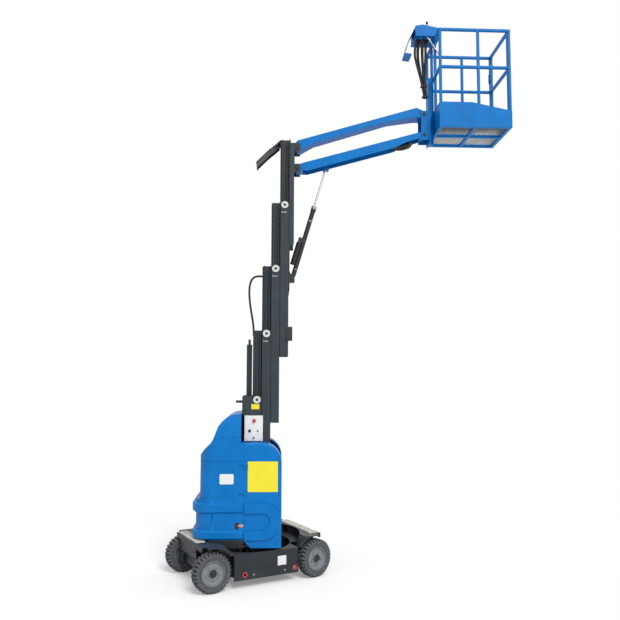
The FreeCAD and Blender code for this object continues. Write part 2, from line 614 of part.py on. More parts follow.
def make_lower_hood():
    wide = "hood_corner + hood_back - hood_skirt_back"
    edge = "hood_front - 0.6 * rib_end_gap"
    # name, back, half width, corner radius, front, bottom, top
    layers = [
        ("skirt", "hood_skirt_back", "hood_half", wide, "hood_front", "rib_low_bottom", "hood_skirt_top"),
        ("rib_high", "hood_skirt_back - rib_back", "hood_half + rib_side", wide + " + rib_side", edge, "rib_high_bottom", "rib_high_top"),
        ("rib_low", "hood_skirt_back - rib_back + 2", "hood_half + rib_side", wide + " + rib_side", edge, "rib_low_bottom", "rib_low_top"),
    ]
    upper = plan_block("hood_body", "hood_back", "hood_half", "hood_corner", "hood_front", "rib_low_bottom", "hood_seam")
    room = plan_block("hood_room", "hood_back + hood_wall", "hood_half - hood_wall", "hood_corner - hood_wall", "hood_front - hood_wall",
                      "rib_low_bottom - 1", "hood_seam + 1")
    base = common("hood_base", [
        plan_block("hood_base_plan", "hood_back", "hood_half", "hood_corner", "hood_front", "hood_bottom", "rib_low_bottom"),
        rod("hood_base_round", "hood_base_radius", "rib_low_bottom", ("0", "0", "0"))])
    base_room = common("hood_base_room", [
        plan_block("hood_base_room_plan", "hood_back + hood_wall", "hood_half - hood_wall", "hood_corner - hood_wall",
                   "hood_front - hood_wall", "hood_bottom - 1", "rib_low_bottom + hood_wall"),
        rod("hood_base_room_round", "hood_base_radius - hood_wall", "hood_skirt_top", ("0", "0", "0"))])
    outside = [upper, base]
    inside = [room, base_room]
    wall = val("hood_wall")
    for name, back, half, corner, front, low, high in layers:
        outer = plan_block("hood_" + name, back, half, corner, front, low, high)
        inner = plan_block("hood_%s_room" % name, back + " + hood_wall", half + " - hood_wall", corner + " - hood_wall",
                           front + " - hood_wall", low + " + hood_wall", high + " - hood_wall")
        if name.startswith("rib"):
            outer = slope_rims("hood_%s_sloped" % name, outer, val("rib_slope"))
            inner = slope_rims("hood_%s_room_sloped" % name, inner, val("rib_slope") - 0.6 * wall)
        outside.append(outer)
        inside.append(inner)
    inside.append(box("hood_mast_way", ("hood_front - 2 * hood_wall", "hood_front + 1"), ("-mast_half - seat_gap", "mast_half + seat_gap"),
                      ("hood_bottom - 1", "hood_seam + 1")))
    keep("hood_lower", cut("lower_hood", fuse("lower_hood_body", outside), inside))


# from the hood's back to its crown, and from the seam to the crown
HOOD_LINE = [(0, 0.115), (0.136, 0.264), (0.272, 0.367), (0.351, 0.512), (0.442, 0.73), (0.54, 0.835), (0.635, 0.909), (0.782, 0.974)]


def hood_profile(back, front, low, high):
    line = [(front, low), (back, low)]
    line += [("%s + %g * ((%s) - (%s))" % (back, along, front, back), "%s + %g * ((%s) - (%s))" % (low, up, high, low))
             for along, up in HOOD_LINE]
    return line + [(front, high)]


def make_upper_hood():
    seam = "hood_seam + hood_joint"
    fit = " - hood_wall"
    parts = []
    for name, wall, less in (("upper", "0", ""), ("upper_room", "hood_wall", fit)):
        profile = hood_profile("hood_back + " + wall, "hood_crown_front - " + wall, seam + (" - 1" if less else ""), "hood_crown" + less)
        low, half = profile[0][1], "hood_half" + less
        shoulder = "hood_seam + 0.55 * (hood_crown - hood_seam)"
        parts.append(common(name, [
            fuse(name + "_long", [
                side_prism(name + "_side", profile, half),
                box(name + "_front", ("hood_back + 2 * hood_corner", "hood_front - " + wall), ("-(%s)" % half, half), (low, "door_top" + less))]),
            plan_block(name + "_plan", "hood_back + " + wall, half, "hood_corner" + less, "hood_front - " + wall, low, "hood_crown" + less),
            prism(name + "_taper", "YZ_Plane", [("-(%s)" % half, low), (half, low), (half, shoulder), ("hood_crown_half" + less, "hood_crown" + less),
                                                ("-(hood_crown_half%s)" % less, "hood_crown" + less), ("-(%s)" % half, shoulder)],
                  "hood_back", "hood_front")]))
    mast_way = box("upper_mast_way", ("hood_crown_front - 2 * hood_wall", "hood_front + 1"), ("-mast_half - seat_gap", "mast_half + seat_gap"),
                   (seam + " - 1", "hood_crown - 3 * hood_wall"))
    keep("hood_upper", cut("upper_hood", parts[0], [parts[1], mast_way]))


def make_door_sill():
    """The fixed strip under the left door, which clears the chassis when it opens."""
    skin = box("sill_skin", ("hood_front + door_gap", "door_front - 20"), ("hood_half - hood_wall", "hood_half"), ("hood_bottom", "sill_top - 2"))
    foot = box("sill_foot", ("hood_front + door_gap", "battery_front"), ("battery_outer - 2", "hood_half"), ("shelf_z", "shelf_z + shelf_wall"))
    keep("door_sill", fuse("sill", [skin, foot]))


def door_solid(name, facing, back, front, low, high, side, corner, edge_round):
    """A door's outline pushed across its width, rounded at its top front corner and round its face."""
    inner = "door_inner" if edge_round == val("door_round") else "door_inner - 1"
    ys = (inner, side) if facing > 0 else ("-(%s)" % side, "-(%s)" % inner)
    outline_points = [(back, "(%s) + door_cut" % low), ("hood_front + door_cut", low), (front, low), (front, high), (back, high)]
    base = prism(name, "XZ_Plane", outline_points, *ys)
    doc.recompute()
    reach = base.Shape.BoundBox
    arched = rounded(name + "_arched", base, corner, lambda edge: flat_at(edge, "x", reach.XMax) and flat_at(edge, "z", reach.ZMax))
    face = reach.YMax if facing > 0 else reach.YMin
    return rounded(name + "_soft", arched, edge_round, lambda edge: flat_at(edge, "y", face) and edge.BoundBox.ZMax > reach.ZMin + 1
                   and not flat_at(edge, "x", reach.XMin) and edge.BoundBox.XMax > reach.XMin + val("door_cut"))


def make_doors():
    wall = val("hood_wall")
    for side, facing in SIDES:
        name = "door_" + side
        back = "hood_front + door_gap"
        bottom = "sill_top" if facing > 0 else "hood_bottom"
        start = "hood_front + 0.2 * rib_end_gap"
        rib = "hood_half - 0.9 * hood_wall" if facing > 0 else "-hood_half - rib_side"
        deep = "rib_side + 0.9 * hood_wall"
        skin = door_solid(name + "_skin", facing, back, "door_front", bottom, "door_top", "hood_half", val("door_corner"), val("door_round"))
        room = door_solid(name + "_room", facing, "hood_front - 1", "door_front - hood_wall", bottom + " - 1", "door_top - hood_wall",
                          "hood_half - hood_wall", val("door_corner") - wall, val("door_round") - wall)
        middle = "(rib_low_bottom + rib_high_top) / 2"
        outer = fuse(name + "_rib_outer", [
            rod(name + "_rib_turn", "(rib_high_top - rib_low_bottom) / 2", deep, ("rib_turn_x", rib, middle), "y"),
            box(name + "_rib_run", (start, "rib_turn_x"), (rib, rib + " + " + deep), ("rib_low_bottom", "rib_high_top"))])
        inner = fuse(name + "_rib_inner", [
            rod(name + "_hole_turn", "(rib_high_bottom - rib_low_top) / 2", deep, ("rib_turn_x", rib, middle), "y"),
            box(name + "_hole_run", (start, "rib_turn_x"), (rib, rib + " + " + deep), ("rib_low_top", "rib_high_bottom"))])
        ridge = cut(name + "_rib", outer, [inner])
        hinge_y = "hood_half + hinge_out" if facing > 0 else "-hood_half - hinge_out"
        leaf = ("hood_half", "hood_half + 3") if facing > 0 else ("-hood_half - 3", "-hood_half")
        pieces = [cut(name + "_shell", skin, [room]), ridge]
        for place in ("low", "high"):
            middle_z = "hinge_" + place
            zs = (middle_z + " - hinge_height / 2", middle_z + " + hinge_height / 2")
            pieces.append(rod("%s_barrel_%s" % (name, place), "hinge_radius", "hinge_height", ("hood_front", hinge_y, zs[0])))
            pieces.append(box("%s_leaf_%s" % (name, place), (back, "hood_front + hinge_leaf"), leaf, zs))
            pieces.append(box("%s_neck_%s" % (name, place), (back, "hood_front + hinge_radius"),
                              ("hood_half", "hood_half + hinge_out") if facing > 0 else ("-hood_half - hinge_out", "-hood_half"), zs))
        keep("side_" + name, fuse(name, pieces))


def make_mast_sections():
    channel, first, last = CHANNEL, RAIL_BACK, RAIL_FRONT
    # plate, from and to along X, from and to across Y
    plates = [
        ("spine", "0", first + " + mast_wall", "mast_spine - mast_wall", "mast_spine"),
        ("web", first, channel + " + mast_wall", "mast_web - mast_wall", "mast_web"),
        ("rail_back", first, first + " + mast_wall", "mast_spine - mast_wall", "mast_rail"),
        ("rail_front", last + " - mast_wall", last, "mast_web - mast_wall", "mast_rail"),
        ("channel_back", channel, channel + " + mast_wall", "mast_web - mast_wall", "mast_half"),
        ("channel_side", channel, "mast_depth", "mast_half - mast_wall", "mast_half"),
        ("lip", "mast_depth - mast_wall", "mast_depth", "mast_lip", "mast_half"),
    ]
    for number in range(5):
        name = "mast_section_%d" % (number + 1)
        back = "mast_x + %d * mast_step" % number
        top = "mast_top + %d * mast_rise" % number
        bottom = top + " - mast_length" if number else "foot_top"
        pieces = [box(name + "_cross", ("%s + %s" % (back, first), "%s + %s + mast_wall" % (back, first)),
                      ("-mast_web", "mast_web"), (bottom, top))]
        for plate, near, far, inner, outer in plates:
            if number == 4 and plate in ("lip", "channel_side"):
                continue
            pieces += both("%s_%s" % (name, plate), ("%s + %s" % (back, near), "%s + %s" % (back, far)), (inner, outer), (bottom, top))
        if number == 4:
            pieces += both(name + "_flange", (back + " + " + channel, back + " + mast_depth - 40"), ("mast_half - mast_wall", "mast_half"),
                           (top + " - 1230", top + " - 80"))
        if number == 1:
            pieces.append(box("hose_clip", ("%d + hose_radius + seat_gap" % HOSE_ROUTE[-1][0], "%s + %s" % (back, first)),
                              ("hose_y - hose_radius", "hose_y + hose_radius"), (top + " - 52", top + " - 12")))
        body = fuse(name + "_body", pieces)
        if number == 4:
            keep(name, body)
            continue
        x = "%s + %s" % (back, ROLLER_X)
        z = top + " - roller_drop"
        bore = rod(name + "_bore", "pin_radius + bearing_gap", "2 * mast_half + 2", (x, "-mast_half - 1", z), "y")
        keep(name, cut(name, body, [bore]))
        make_rollers(number, x, z)


def make_rollers(number, x, z):
    name = "mast_rollers_%d" % (number + 1)
    face = "mast_half + head_wall" if number == 0 else "mast_half"
    radius = "(%s - %s) / 2 - mast_wall - seat_gap" % (RAIL_FRONT, RAIL_BACK)
    pieces = []
    for side, facing in SIDES:
        inner = "mast_rail - roller_width"
        start = inner if facing > 0 else "-(%s + boss_wall)" % face
        pieces.append(rod("%s_pin_%s" % (name, side), "pin_radius", "%s + boss_wall - (%s)" % (face, inner), (x, start, z), "y"))
        pieces.append(rod("%s_wheel_%s" % (name, side), radius, "roller_width", (x, inner if facing > 0 else "-mast_rail", z), "y"))
        boss = tube("%s_boss_%s" % (name, side), "boss_radius", "pin_radius - 0.5", "boss_wall",
                    (x, face if facing > 0 else "-(%s + boss_wall)" % face, z), "y")
        pieces.append(boss)
    keep(name, fuse(name, pieces))


def make_mast_head():
    front = "mast_x + mast_depth"
    back = ("mast_x - head_wall", "mast_x")
    cheeks = both("head_cheek", ("mast_x - head_wall", front), ("mast_half", "mast_half + head_wall"), ("head_bottom", "mast_top"))
    bar = box("head_bar", back, ("-mast_half - head_wall", "mast_half + head_wall"), ("head_bottom", "mast_top"))
    stub = rod("head_stub_rod", "hose_radius + 2", "head_stub", ("mast_x - head_wall - head_stub", "-mast_half + 90", "mast_top - 62"), "x")
    bore = rod("head_bore", "pin_radius + bearing_gap", "4 * mast_half", ("mast_x + " + ROLLER_X, "-2 * mast_half", "mast_top - roller_drop"), "y")
    keep("mast_head", cut("head", fuse("head_body", cheeks + [bar, stub]), [bore]))


def make_ground_controls():
    face = "-mast_half - panel_deep"
    knobs = [("stop", "59", "1710", "17"), ("switch", "11", "1600", "12"), ("lamp", "99", "1600", "8"), ("key", "56", "1525", "10")]
    pieces = [box("control_case", ("panel_back", "panel_front"), (face, "-mast_half"), ("panel_bottom", "head_bottom"))]
    keep("ground_control_box", fuse("control_case_set", pieces + [
        box("control_rim", ("panel_back + 6", "panel_front - 6"), (face + " - 2", face), ("panel_bottom + 6", "head_bottom - 6"))]))
    keep("ground_control_knobs", fuse("control_knobs", [
        rod("knob_" + name, radius, "18", (x, face + " - 20", z), "y") for name, x, z, radius in knobs]))


def make_hose_guard():
    back = "mast_x + %s + mast_wall" % RAIL_BACK
    guard = box("guard_tube", (back, back + " + tower_deep"), ("-tower_half", "tower_half"), ("tower_bottom", "tower_top"))
    cap = rod("guard_neck", "hose_radius + 2", "60", (back + " + tower_deep / 2", "0", "tower_top"))
    keep("hose_guard", fuse("guard", [guard, cap]))


def pipe(name, points, radius):
    """A hose through points: straight runs joined by arcs as large as the runs allow."""
    edges = []
    start = points[0]
    for before, here, after in zip(points, points[1:], points[2:]):
        to_before = (before - here).normalize()
        to_after = (after - here).normalize()
        half_turn = (math.pi - to_before.getAngle(to_after)) / 2
        trim = 0.45 * min((before - here).Length, (after - here).Length)
        bend = trim / math.tan(half_turn)
        print("%s bend radius %.0f" % (name, bend))
        middle_way = (to_before + to_after).normalize()
        centre = here + middle_way * (bend / math.cos(half_turn))
        enter, leave = here + to_before * trim, here + to_after * trim
        edges.append(Part.LineSegment(start, enter).toShape())
        edges.append(Part.Arc(enter, centre - middle_way * bend, leave).toShape())
        start = leave
    edges.append(Part.LineSegment(start, points[-1]).toShape())
    path = Part.Wire(edges)
    ring = Part.Wire(Part.Circle(points[0], points[1] - points[0], radius).toShape())
    made = doc.addObject("Part::Feature", name)
    made.Shape = path.makePipeShell([ring], True, False)
    print("%s length %.1f volume %.0f of %.0f" % (name, path.Length, made.Shape.Volume, path.Length * math.pi * radius ** 2))
    return made


# from the third section's back plate over and down to the clip on the second, along X and up Z
HOSE_ROUTE = [(147.7, 3355), (95, 3360), (42, 3354), (0, 3318), (-23, 3235), (-24, 3130), (-8, 2990), (16, 2860), (33, 2740),
              (33, 2660)]


def make_mast_hose():
    y = val("hose_y")
    keep("mast_hose", pipe("mast_hose", [Vector(x, y, z) for x, z in HOSE_ROUTE], val("hose_radius")))


def make_top_flap():
    top = "mast_top + 4 * mast_rise"
    # along X, and down from the mast's top to the upper face
    line = [("450", "-8"), ("326", "-8"), ("277", "38"), ("191", "110"), ("48", "254")]
    slope = [("320", "-2"), ("277", "38.5"), ("191", "110.5"), ("48", "254.5")]
    upper = [(x, "%s - (%s)" % (top, drop)) for x, drop in line]
    lower = [(x, "%s - (%s) - flap_wall" % (top, drop)) for x, drop in reversed(line)]
    lip_top = [(x, "%s - (%s)" % (top, drop)) for x, drop in slope]
    lip_foot = [(x, "%s - (%s) - flap_lip" % (top, drop)) for x, drop in reversed(slope)]
    pieces = [side_prism("flap_sheet", upper + lower, "flap_half")]
    for side, facing in SIDES:
        lip = ("flap_half - flap_wall", "flap_half") if facing > 0 else ("-flap_half", "flap_wall - flap_half")
        pieces.append(prism("flap_lip_" + side, "XZ_Plane", lip_top + lip_foot, *lip))
    pieces += both("flap_foot", ("350", "430"), ("mast_web - 20", "mast_web"), (top, top + " + 8 - flap_wall"))
    keep("top_flap", fuse("flap", pieces))


def make_jib_bracket():
    back = FRONT_PLATE
    inner = "arm_half + cheek_gap"
    low = "jib_pin_low - 50"
    high = "jib_pin_low + jib_pin_gap + 50"
    plate = box("bracket_plate", (back, back + " + mast_wall"), ("-mast_half + mast_wall", "mast_half - mast_wall"), (low, high))
    cheeks = both("bracket_cheek", (back, "jib_pin_x + 38"), (inner, inner + " + cheek_wall"), (low, high))
    notch = box("bracket_notch", ("jib_pin_x - ear_reach + 15", "jib_pin_x + 39"), ("-mast_half", "mast_half"),
                ("jib_pin_low + ear_reach + 5", "jib_pin_low + jib_pin_gap - ear_reach - 5"))
    cheeks = [cut("bracket_ears_%d" % number, cheek, [notch]) for number, cheek in enumerate(cheeks)]
    pins = [rod("root_pin_" + name, "pin_radius", "2 * (%s + cheek_wall)" % inner, ("jib_pin_x", "-(%s + cheek_wall)" % inner, z), "y")
            for name, z in (("low", "jib_pin_low"), ("high", "jib_pin_low + jib_pin_gap"))]
    keep("jib_bracket", fuse("bracket", [plate] + cheeks + pins))
    foot_plate = box("foot_plate", (back, back + " + 8"), ("-mast_half + mast_wall", "mast_half - mast_wall"), ("cylinder_z - 50", "cylinder_z + 50"))
    foot_cheeks = both("foot_cheek", (back, "cylinder_x + 24"), ("lug_inner", "lug_inner + lug_wall"), ("cylinder_z - 50", "cylinder_z + 50"))
    foot_pin = rod("foot_pin", "pin_radius", "2 * (lug_inner + lug_wall)", ("cylinder_x", "-lug_inner - lug_wall", "cylinder_z"), "y")
    keep("cylinder_foot", fuse("foot", [foot_plate, foot_pin] + foot_cheeks))


def jib_place(z):
    return Placement(Vector(val("jib_pin_x"), 0, z), Rotation(Vector(0, 1, 0), -val("jib_angle")))


def pin_tubes(name):
    return [rod("%s_tube_%s" % (name, end), "knuckle_radius", "2 * arm_half", (x, "-arm_half", "0"), "y")
            for end, x in (("root", "0"), ("tip", "jib_length"))]


def pin_bores(name):
    return [rod("%s_bore_%s" % (name, end), "pin_radius + bearing_gap", "2 * arm_half + 2", (x, "-arm_half - 1", "0"), "y")
            for end, x in (("root", "0"), ("tip", "jib_length"))]


def make_lower_arm():
    end = "jib_length + 26"
    skin = side_prism("lower_skin", [("-26", "-16"), ("-14", "-34"), ("60", "-43"), ("110", "-60"), ("jib_length - 380", "-60"),
                                     ("jib_length - 230", "-30"), (end, "-24"), (end, "24"), ("jib_length - 20", "46"), ("60", "46"),
                                     ("-26", "18")], "arm_half")
    room = box("lower_room", ("60", "jib_length - 60"), ("arm_wall - arm_half", "arm_half - arm_wall"), ("-70", "46 - arm_wall"))
    shell = cut("lower_shell", fuse("lower_solid", [skin] + pin_tubes("lower")), [room])
    lugs = both("lower_lug", ("rod_eye_along - 32", "rod_eye_along + 32"), ("lug_inner", "lug_inner + lug_wall"),
                ("-rod_eye_below - 26", "46 - arm_wall / 2"))
    keep("jib_lower_arm", cut("lower_arm", fuse("lower_arm_body", [shell] + lugs), pin_bores("lower")), jib_place(val("jib_pin_low")))


def make_upper_arm():
    end = "jib_length + 28"
    skin = side_prism("upper_skin", [("-26", "-26"), ("-8", "-42"), ("40", "-42"), ("200", "0"), ("jib_length - 430", "28"),
                                     ("jib_length - 120", "-10"), ("jib_length - 20", "-34"), (end, "-18"), (end, "26"),
                                     ("jib_length - 60", "101"), ("20", "79"), ("-26", "36")], "arm_half")
    room = side_prism("upper_room", [("45", "12"), ("jib_length - 430", "34"), ("jib_length + 50", "34"), ("jib_length + 50", "94"),
                                     ("45", "73")], "arm_half - arm_wall")
    solid = fuse("upper_solid", [skin] + pin_tubes("upper"))
    keep("jib_upper_arm", cut("upper_arm", solid, [room] + pin_bores("upper")), jib_place(val("jib_pin_low") + val("jib_pin_gap")))


def eye_point():
    """The cylinder's upper pin at rest, under the lower arm."""
    local = Vector(val("rod_eye_along"), 0, -val("rod_eye_below"))
    return jib_place(val("jib_pin_low")).multVec(local)


def cylinder_place(along):
    foot = Vector(val("cylinder_x"), 0, val("cylinder_z"))
    way = eye_point() - foot
    lean = math.degrees(math.atan2(way.x, way.z))
    return Placement(foot, Rotation(Vector(0, 1, 0), lean)).multiply(Placement(Vector(0, 0, along), Rotation()))


def make_jib_cylinder():
    wide = "lug_inner - cheek_gap"
    body = fuse("barrel_body", [
        rod("barrel_tube", "barrel_radius", "barrel_length", ("0", "0", "0")),
        rod("barrel_head", "barrel_radius + 4", "60", ("0", "0", "barrel_length - 60")),
        rod("barrel_eye_ring", "barrel_eye", "2 * (%s)" % wide, ("0", "-(%s)" % wide, "0"), "y"),
        rod("pump_pack", "pack_radius", "pack_end - pack_start", ("-barrel_radius - 18", "0", "pack_start")),
        box("valve_block", ("-barrel_radius - 40", "0"), ("-30", "30"), ("pack_end", "pack_end + 60")),
    ])
    # the foot of the barrel is turned down to the width of its eye
    neck = cut("barrel_neck", box("neck_block", ("-60", "60"), ("-60", "60"), ("-60", "30")),
               [rod("neck_keep", "barrel_eye", "60", ("0", "-30", "0"), "y"), box("neck_stem", ("-18", "18"), ("-26", "26"), ("0", "31"))])
    tools = [neck, rod("barrel_pin_bore", "pin_radius + bearing_gap", "100", ("0", "-50", "0"), "y"),
             rod("barrel_bore", "piston_rod + seat_gap", "barrel_length", ("0", "0", "60"))]
    keep("jib_cylinder_barrel", cut("barrel", body, tools), cylinder_place(0))
    length = (eye_point() - Vector(val("cylinder_x"), 0, val("cylinder_z"))).Length
    keep("jib_cylinder_rod", fuse("piston", [
        rod("piston_shaft", "piston_rod", "rod_length", ("0", "0", "-rod_length")),
        rod("piston_eye", "rod_eye", "2 * (%s)" % wide, ("0", "-(%s)" % wide, "0"), "y"),
        rod("piston_pin", "pin_radius", "2 * (lug_inner - seat_gap)", ("0", "seat_gap - lug_inner", "0"), "y"),
    ]), cylinder_place(length))


def tip_place():
    """The platform's own frame: on the lower tip pin, level."""
    return Placement(jib_place(val("jib_pin_low")).multVec(Vector(val("jib_length"), 0, 0)), Rotation())


FRAME_TOP = "(deck_z + beam)"
FLOOR = "(deck_z + beam + grid_wall)"
RAIL_TOP = "(%s + rail_top)" % FLOOR
RAIL_MID = "(%s + rail_mid)" % FLOOR
GATE_X = "(deck_end - rail - gate_hinge)"
GATE_Y = "(deck_half - rail - gate_gap / 2)"
GATE_HINGES = (("low", "(%s + toe_low + 60)" % FLOOR), ("high", "(%s + 120)" % RAIL_MID))
CONSOLE_LOW = "(%s + console_gap)" % RAIL_TOP
CONSOLE_TOP = "(%s + console_tall)" % CONSOLE_LOW


def make_platform_post():
    inner = "arm_half + cheek_gap"
    outer = inner + " + cheek_wall"
    yoke_top = "jib_pin_gap + yoke_edge"
    post = box("post_tube", ("post_back", "deck_x"), ("-post_half", "post_half"), ("-post_foot", "post_top"))
    plate = box("yoke_plate", ("post_back", "post_back + 14"), ("-(%s)" % outer, outer), ("-post_foot", yoke_top))
    cheeks = both("yoke_cheek", ("-yoke_back", "post_back + 14"), (inner, outer), ("40 - post_foot", yoke_top))
    pins = [rod("tip_pin_" + name, "pin_radius", "2 * (%s)" % outer, ("0", "-(%s)" % outer, z), "y")
            for name, z in (("low", "0"), ("high", "jib_pin_gap"))]
    keep("platform_post", fuse("post", [post, plate] + cheeks + pins), tip_place())


def make_platform_floor():
    high = "deck_z + beam"
    middle = "(deck_x + deck_end) / 2"
    long_side = ("deck_x", "deck_end")
    pieces = both("floor_side", long_side, ("deck_half - beam", "deck_half"), ("deck_z", high))
    pieces += [
        box("floor_back", ("deck_x", "deck_x + beam"), ("-deck_half", "deck_half"), ("deck_z", high)),
        box("floor_front", ("deck_end - beam", "deck_end"), ("-deck_half", "deck_half"), ("deck_z", high)),
        box("floor_mid_long", long_side, ("-beam / 2", "beam / 2"), ("deck_z", high)),
        box("floor_mid_cross", (middle + " - beam / 2", middle + " + beam / 2"), ("-deck_half", "deck_half"), ("deck_z", high)),
        box("floor_grid", ("deck_x + rail", "deck_end - rail"), ("rail - deck_half", "deck_half - rail"), (high, FLOOR)),
    ]
    keep("platform_floor", fuse("floor", pieces), tip_place())


def make_platform_rails():
    inner = "deck_half - rail"
    posts = (("near", "deck_x", "deck_x + rail"), ("mid", "post_mid - rail / 2", "post_mid + rail / 2"), ("far", "deck_end - rail", "deck_end"))
    levels = (("top", RAIL_TOP), ("mid", RAIL_MID))
    for side, facing in SIDES:
        name = "guard_" + side
        ys = (inner, "deck_half") if facing > 0 else ("-deck_half", "-(%s)" % inner)
        toe = ("deck_half - toe_wall", "deck_half") if facing > 0 else ("-deck_half", "toe_wall - deck_half")
        pieces = [box("%s_post_%s" % (name, place), (low, high), ys, (FRAME_TOP, RAIL_TOP)) for place, low, high in posts]
        pieces += [box("%s_rail_%s" % (name, place), ("deck_x", "deck_end"), ys, (top + " - rail", top)) for place, top in levels]
        pieces.append(prism(name + "_toe", "XZ_Plane", [("deck_x", FRAME_TOP), ("deck_end", FRAME_TOP), ("deck_end", FLOOR + " + toe_low"),
                                                        ("toe_bend", FLOOR + " + toe_top"), ("deck_x", FLOOR + " + toe_top")], *toe))
        if facing > 0:
            for place, z in GATE_HINGES:
                for end, low in (("under", z + " - 30.3"), ("over", z + " + 50.3")):
                    pieces.append(rod("%s_barrel_%s_%s" % (name, place, end), "gate_hinge", "30", (GATE_X, GATE_Y, low)))
                    pieces.append(box("%s_leaf_%s_%s" % (name, place, end), (GATE_X, "deck_end - rail"), (GATE_Y, inner + " + 8"),
                                      (low, low + " + 30")))
        keep("guard_rails_" + side, fuse(name, pieces), tip_place())
    across = ("-(%s)" % inner, inner)
    back = [box("guard_back_" + place, ("deck_x", "deck_x + rail"), across, (top + " - rail", top)) for place, top in levels]
    for sign in (-1, 1):
        middle = "%d * post_half" % (2 * sign)
        back.append(box("guard_back_post", ("deck_x", "deck_x + rail"), (middle + " - rail / 2", middle + " + rail / 2"), (FRAME_TOP, RAIL_TOP)))
    back.append(box("guard_back_toe", ("deck_x", "deck_x + toe_wall"), across, (FRAME_TOP, FLOOR + " + toe_top")))
    keep("guard_rails_back", fuse("guard_back", back), tip_place())


def make_gate():
    half = "(deck_half - rail - gate_gap)"
    low = "(%s + gate_low)" % FLOOR
    xs = ("deck_end - rail", "deck_end")
    pieces = both("gate_post", xs, (half + " - rail", half), (low, RAIL_TOP))
    pieces += [box("gate_rail_" + place, xs, ("-" + half, half), (top + " - rail", top)) for place, top in (("top", RAIL_TOP), ("mid", RAIL_MID))]
    pieces.append(box("gate_toe", ("deck_end - toe_wall", "deck_end"), ("-" + half, half), (low, FLOOR + " + toe_low")))
    for place, z in GATE_HINGES:
        pieces.append(rod("gate_barrel_" + place, "gate_hinge", "50", (GATE_X, GATE_Y, z)))
        pieces.append(box("gate_leaf_" + place, (GATE_X, "deck_end - rail"), (half + " - rail", GATE_Y), (z, z + " + 50")))
    keep("platform_gate", fuse("gate", pieces), tip_place())


def console_case(name, wall):
    """The console's case seen from the side, smaller by a wall all round."""
    back, front = "-console_back + " + wall, "console_deep - console_back - " + wall
    low, high = CONSOLE_LOW + " + " + wall, CONSOLE_TOP + " - " + wall
    return side_prism(name, [(back, low), (front, low), (front, high + " - 0.3 * console_tall"), (back + " + 0.3 * console_deep", high),
                             (back, high + " - 0.12 * console_tall")], "console_half - " + wall)


def make_console():
    shell = cut("console_shell", console_case("console_case", "0"), [console_case("console_room", "shield_wall")])
    legs = both("console_leg", ("deck_x + 4", "deck_x + rail - 4"), ("console_half - 60", "console_half - 40"), (RAIL_TOP, CONSOLE_LOW))
    # share of the way back to the shield's edge, share of the way down to its foot
    line = [(0, 0.05), (0.6, 0.5), (1, 0.97), (0.35, 1)]
    outer = [("-(console_back + %g * (shield_back - console_back))" % along, CONSOLE_TOP + " - %g * shield_drop" % down) for along, down in line]
    inner = [(x + " + 1.6 * shield_wall", z + " + 1.33 * shield_wall") for x, z in reversed(outer)]
    shield = side_prism("console_shield", outer + inner, "console_half - 50")
    keep("platform_console", fuse("console", [shell, shield] + legs), tip_place())
    x = "0.5 * console_deep - console_back"
    face = CONSOLE_TOP + " - 0.0857 * console_tall"
    sticks = []
    for name, y in (("left", "0.6 * console_half"), ("right", "-0.6 * console_half")):
        sticks.append(fuse("stick_" + name, [rod("stick_rod_" + name, "6", "60", (x, y, face + " + 1.5")),
                                             rod("stick_knob_" + name, "14", "26", (x, y, face + " + 50"))]))
    keep("console_sticks", fuse("console_sticks_set", sticks), tip_place())


make_chassis_frame()
for end_name, end_sign in ENDS:
    make_end_cover(end_name, end_sign)
make_step_pads()
make_slewing_ring()
make_rear_axle()
make_front_axle()
make_knuckles()
make_wheels()
make_turret_base()
make_heavy_blocks()
make_lower_hood()
make_upper_hood()
make_door_sill()
make_doors()
make_mast_sections()
make_mast_head()
make_ground_controls()
make_hose_guard()
make_mast_hose()
make_top_flap()
make_jib_bracket()
make_lower_arm()
make_upper_arm()
make_jib_cylinder()
make_platform_post()
make_platform_floor()
make_platform_rails()
make_gate()
make_console()
doc.recompute()

failed = [item.Name for item in doc.Objects if {"Invalid", "Error"} & set(item.State)]
failed += [item.Label for item in KEPT if item.Shape.isNull() or not item.Shape.isValid()]
if failed:
    raise RuntimeError("not built: " + ", ".join(failed))
os.makedirs("parts", exist_ok=True)
for item in KEPT:
    item.Shape.exportStep("parts/%s.step" % item.Label)
    print("%-22s solids %d volume %.0f" % (item.Label, len(item.Shape.Solids), item.Shape.Volume))
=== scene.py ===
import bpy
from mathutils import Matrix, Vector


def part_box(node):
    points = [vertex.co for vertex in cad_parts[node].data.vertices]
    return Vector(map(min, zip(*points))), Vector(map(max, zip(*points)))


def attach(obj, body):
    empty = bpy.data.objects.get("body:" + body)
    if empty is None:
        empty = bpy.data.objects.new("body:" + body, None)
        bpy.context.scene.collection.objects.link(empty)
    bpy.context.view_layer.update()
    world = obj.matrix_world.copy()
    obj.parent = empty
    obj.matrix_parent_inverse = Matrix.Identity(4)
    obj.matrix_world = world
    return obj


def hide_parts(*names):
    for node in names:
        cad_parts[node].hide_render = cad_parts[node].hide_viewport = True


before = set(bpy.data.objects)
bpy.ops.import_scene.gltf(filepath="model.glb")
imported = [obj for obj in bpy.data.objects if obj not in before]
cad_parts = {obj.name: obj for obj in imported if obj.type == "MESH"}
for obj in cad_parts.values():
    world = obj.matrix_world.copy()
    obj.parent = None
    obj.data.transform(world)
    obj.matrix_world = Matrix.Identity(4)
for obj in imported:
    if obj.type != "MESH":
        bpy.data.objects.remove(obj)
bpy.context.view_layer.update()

import math

import bmesh
import bpy
from bpy.props import FloatProperty, FloatVectorProperty, IntProperty, PointerProperty
from bpy.types import Operator, Panel, PropertyGroup
from mathutils import Matrix, Vector

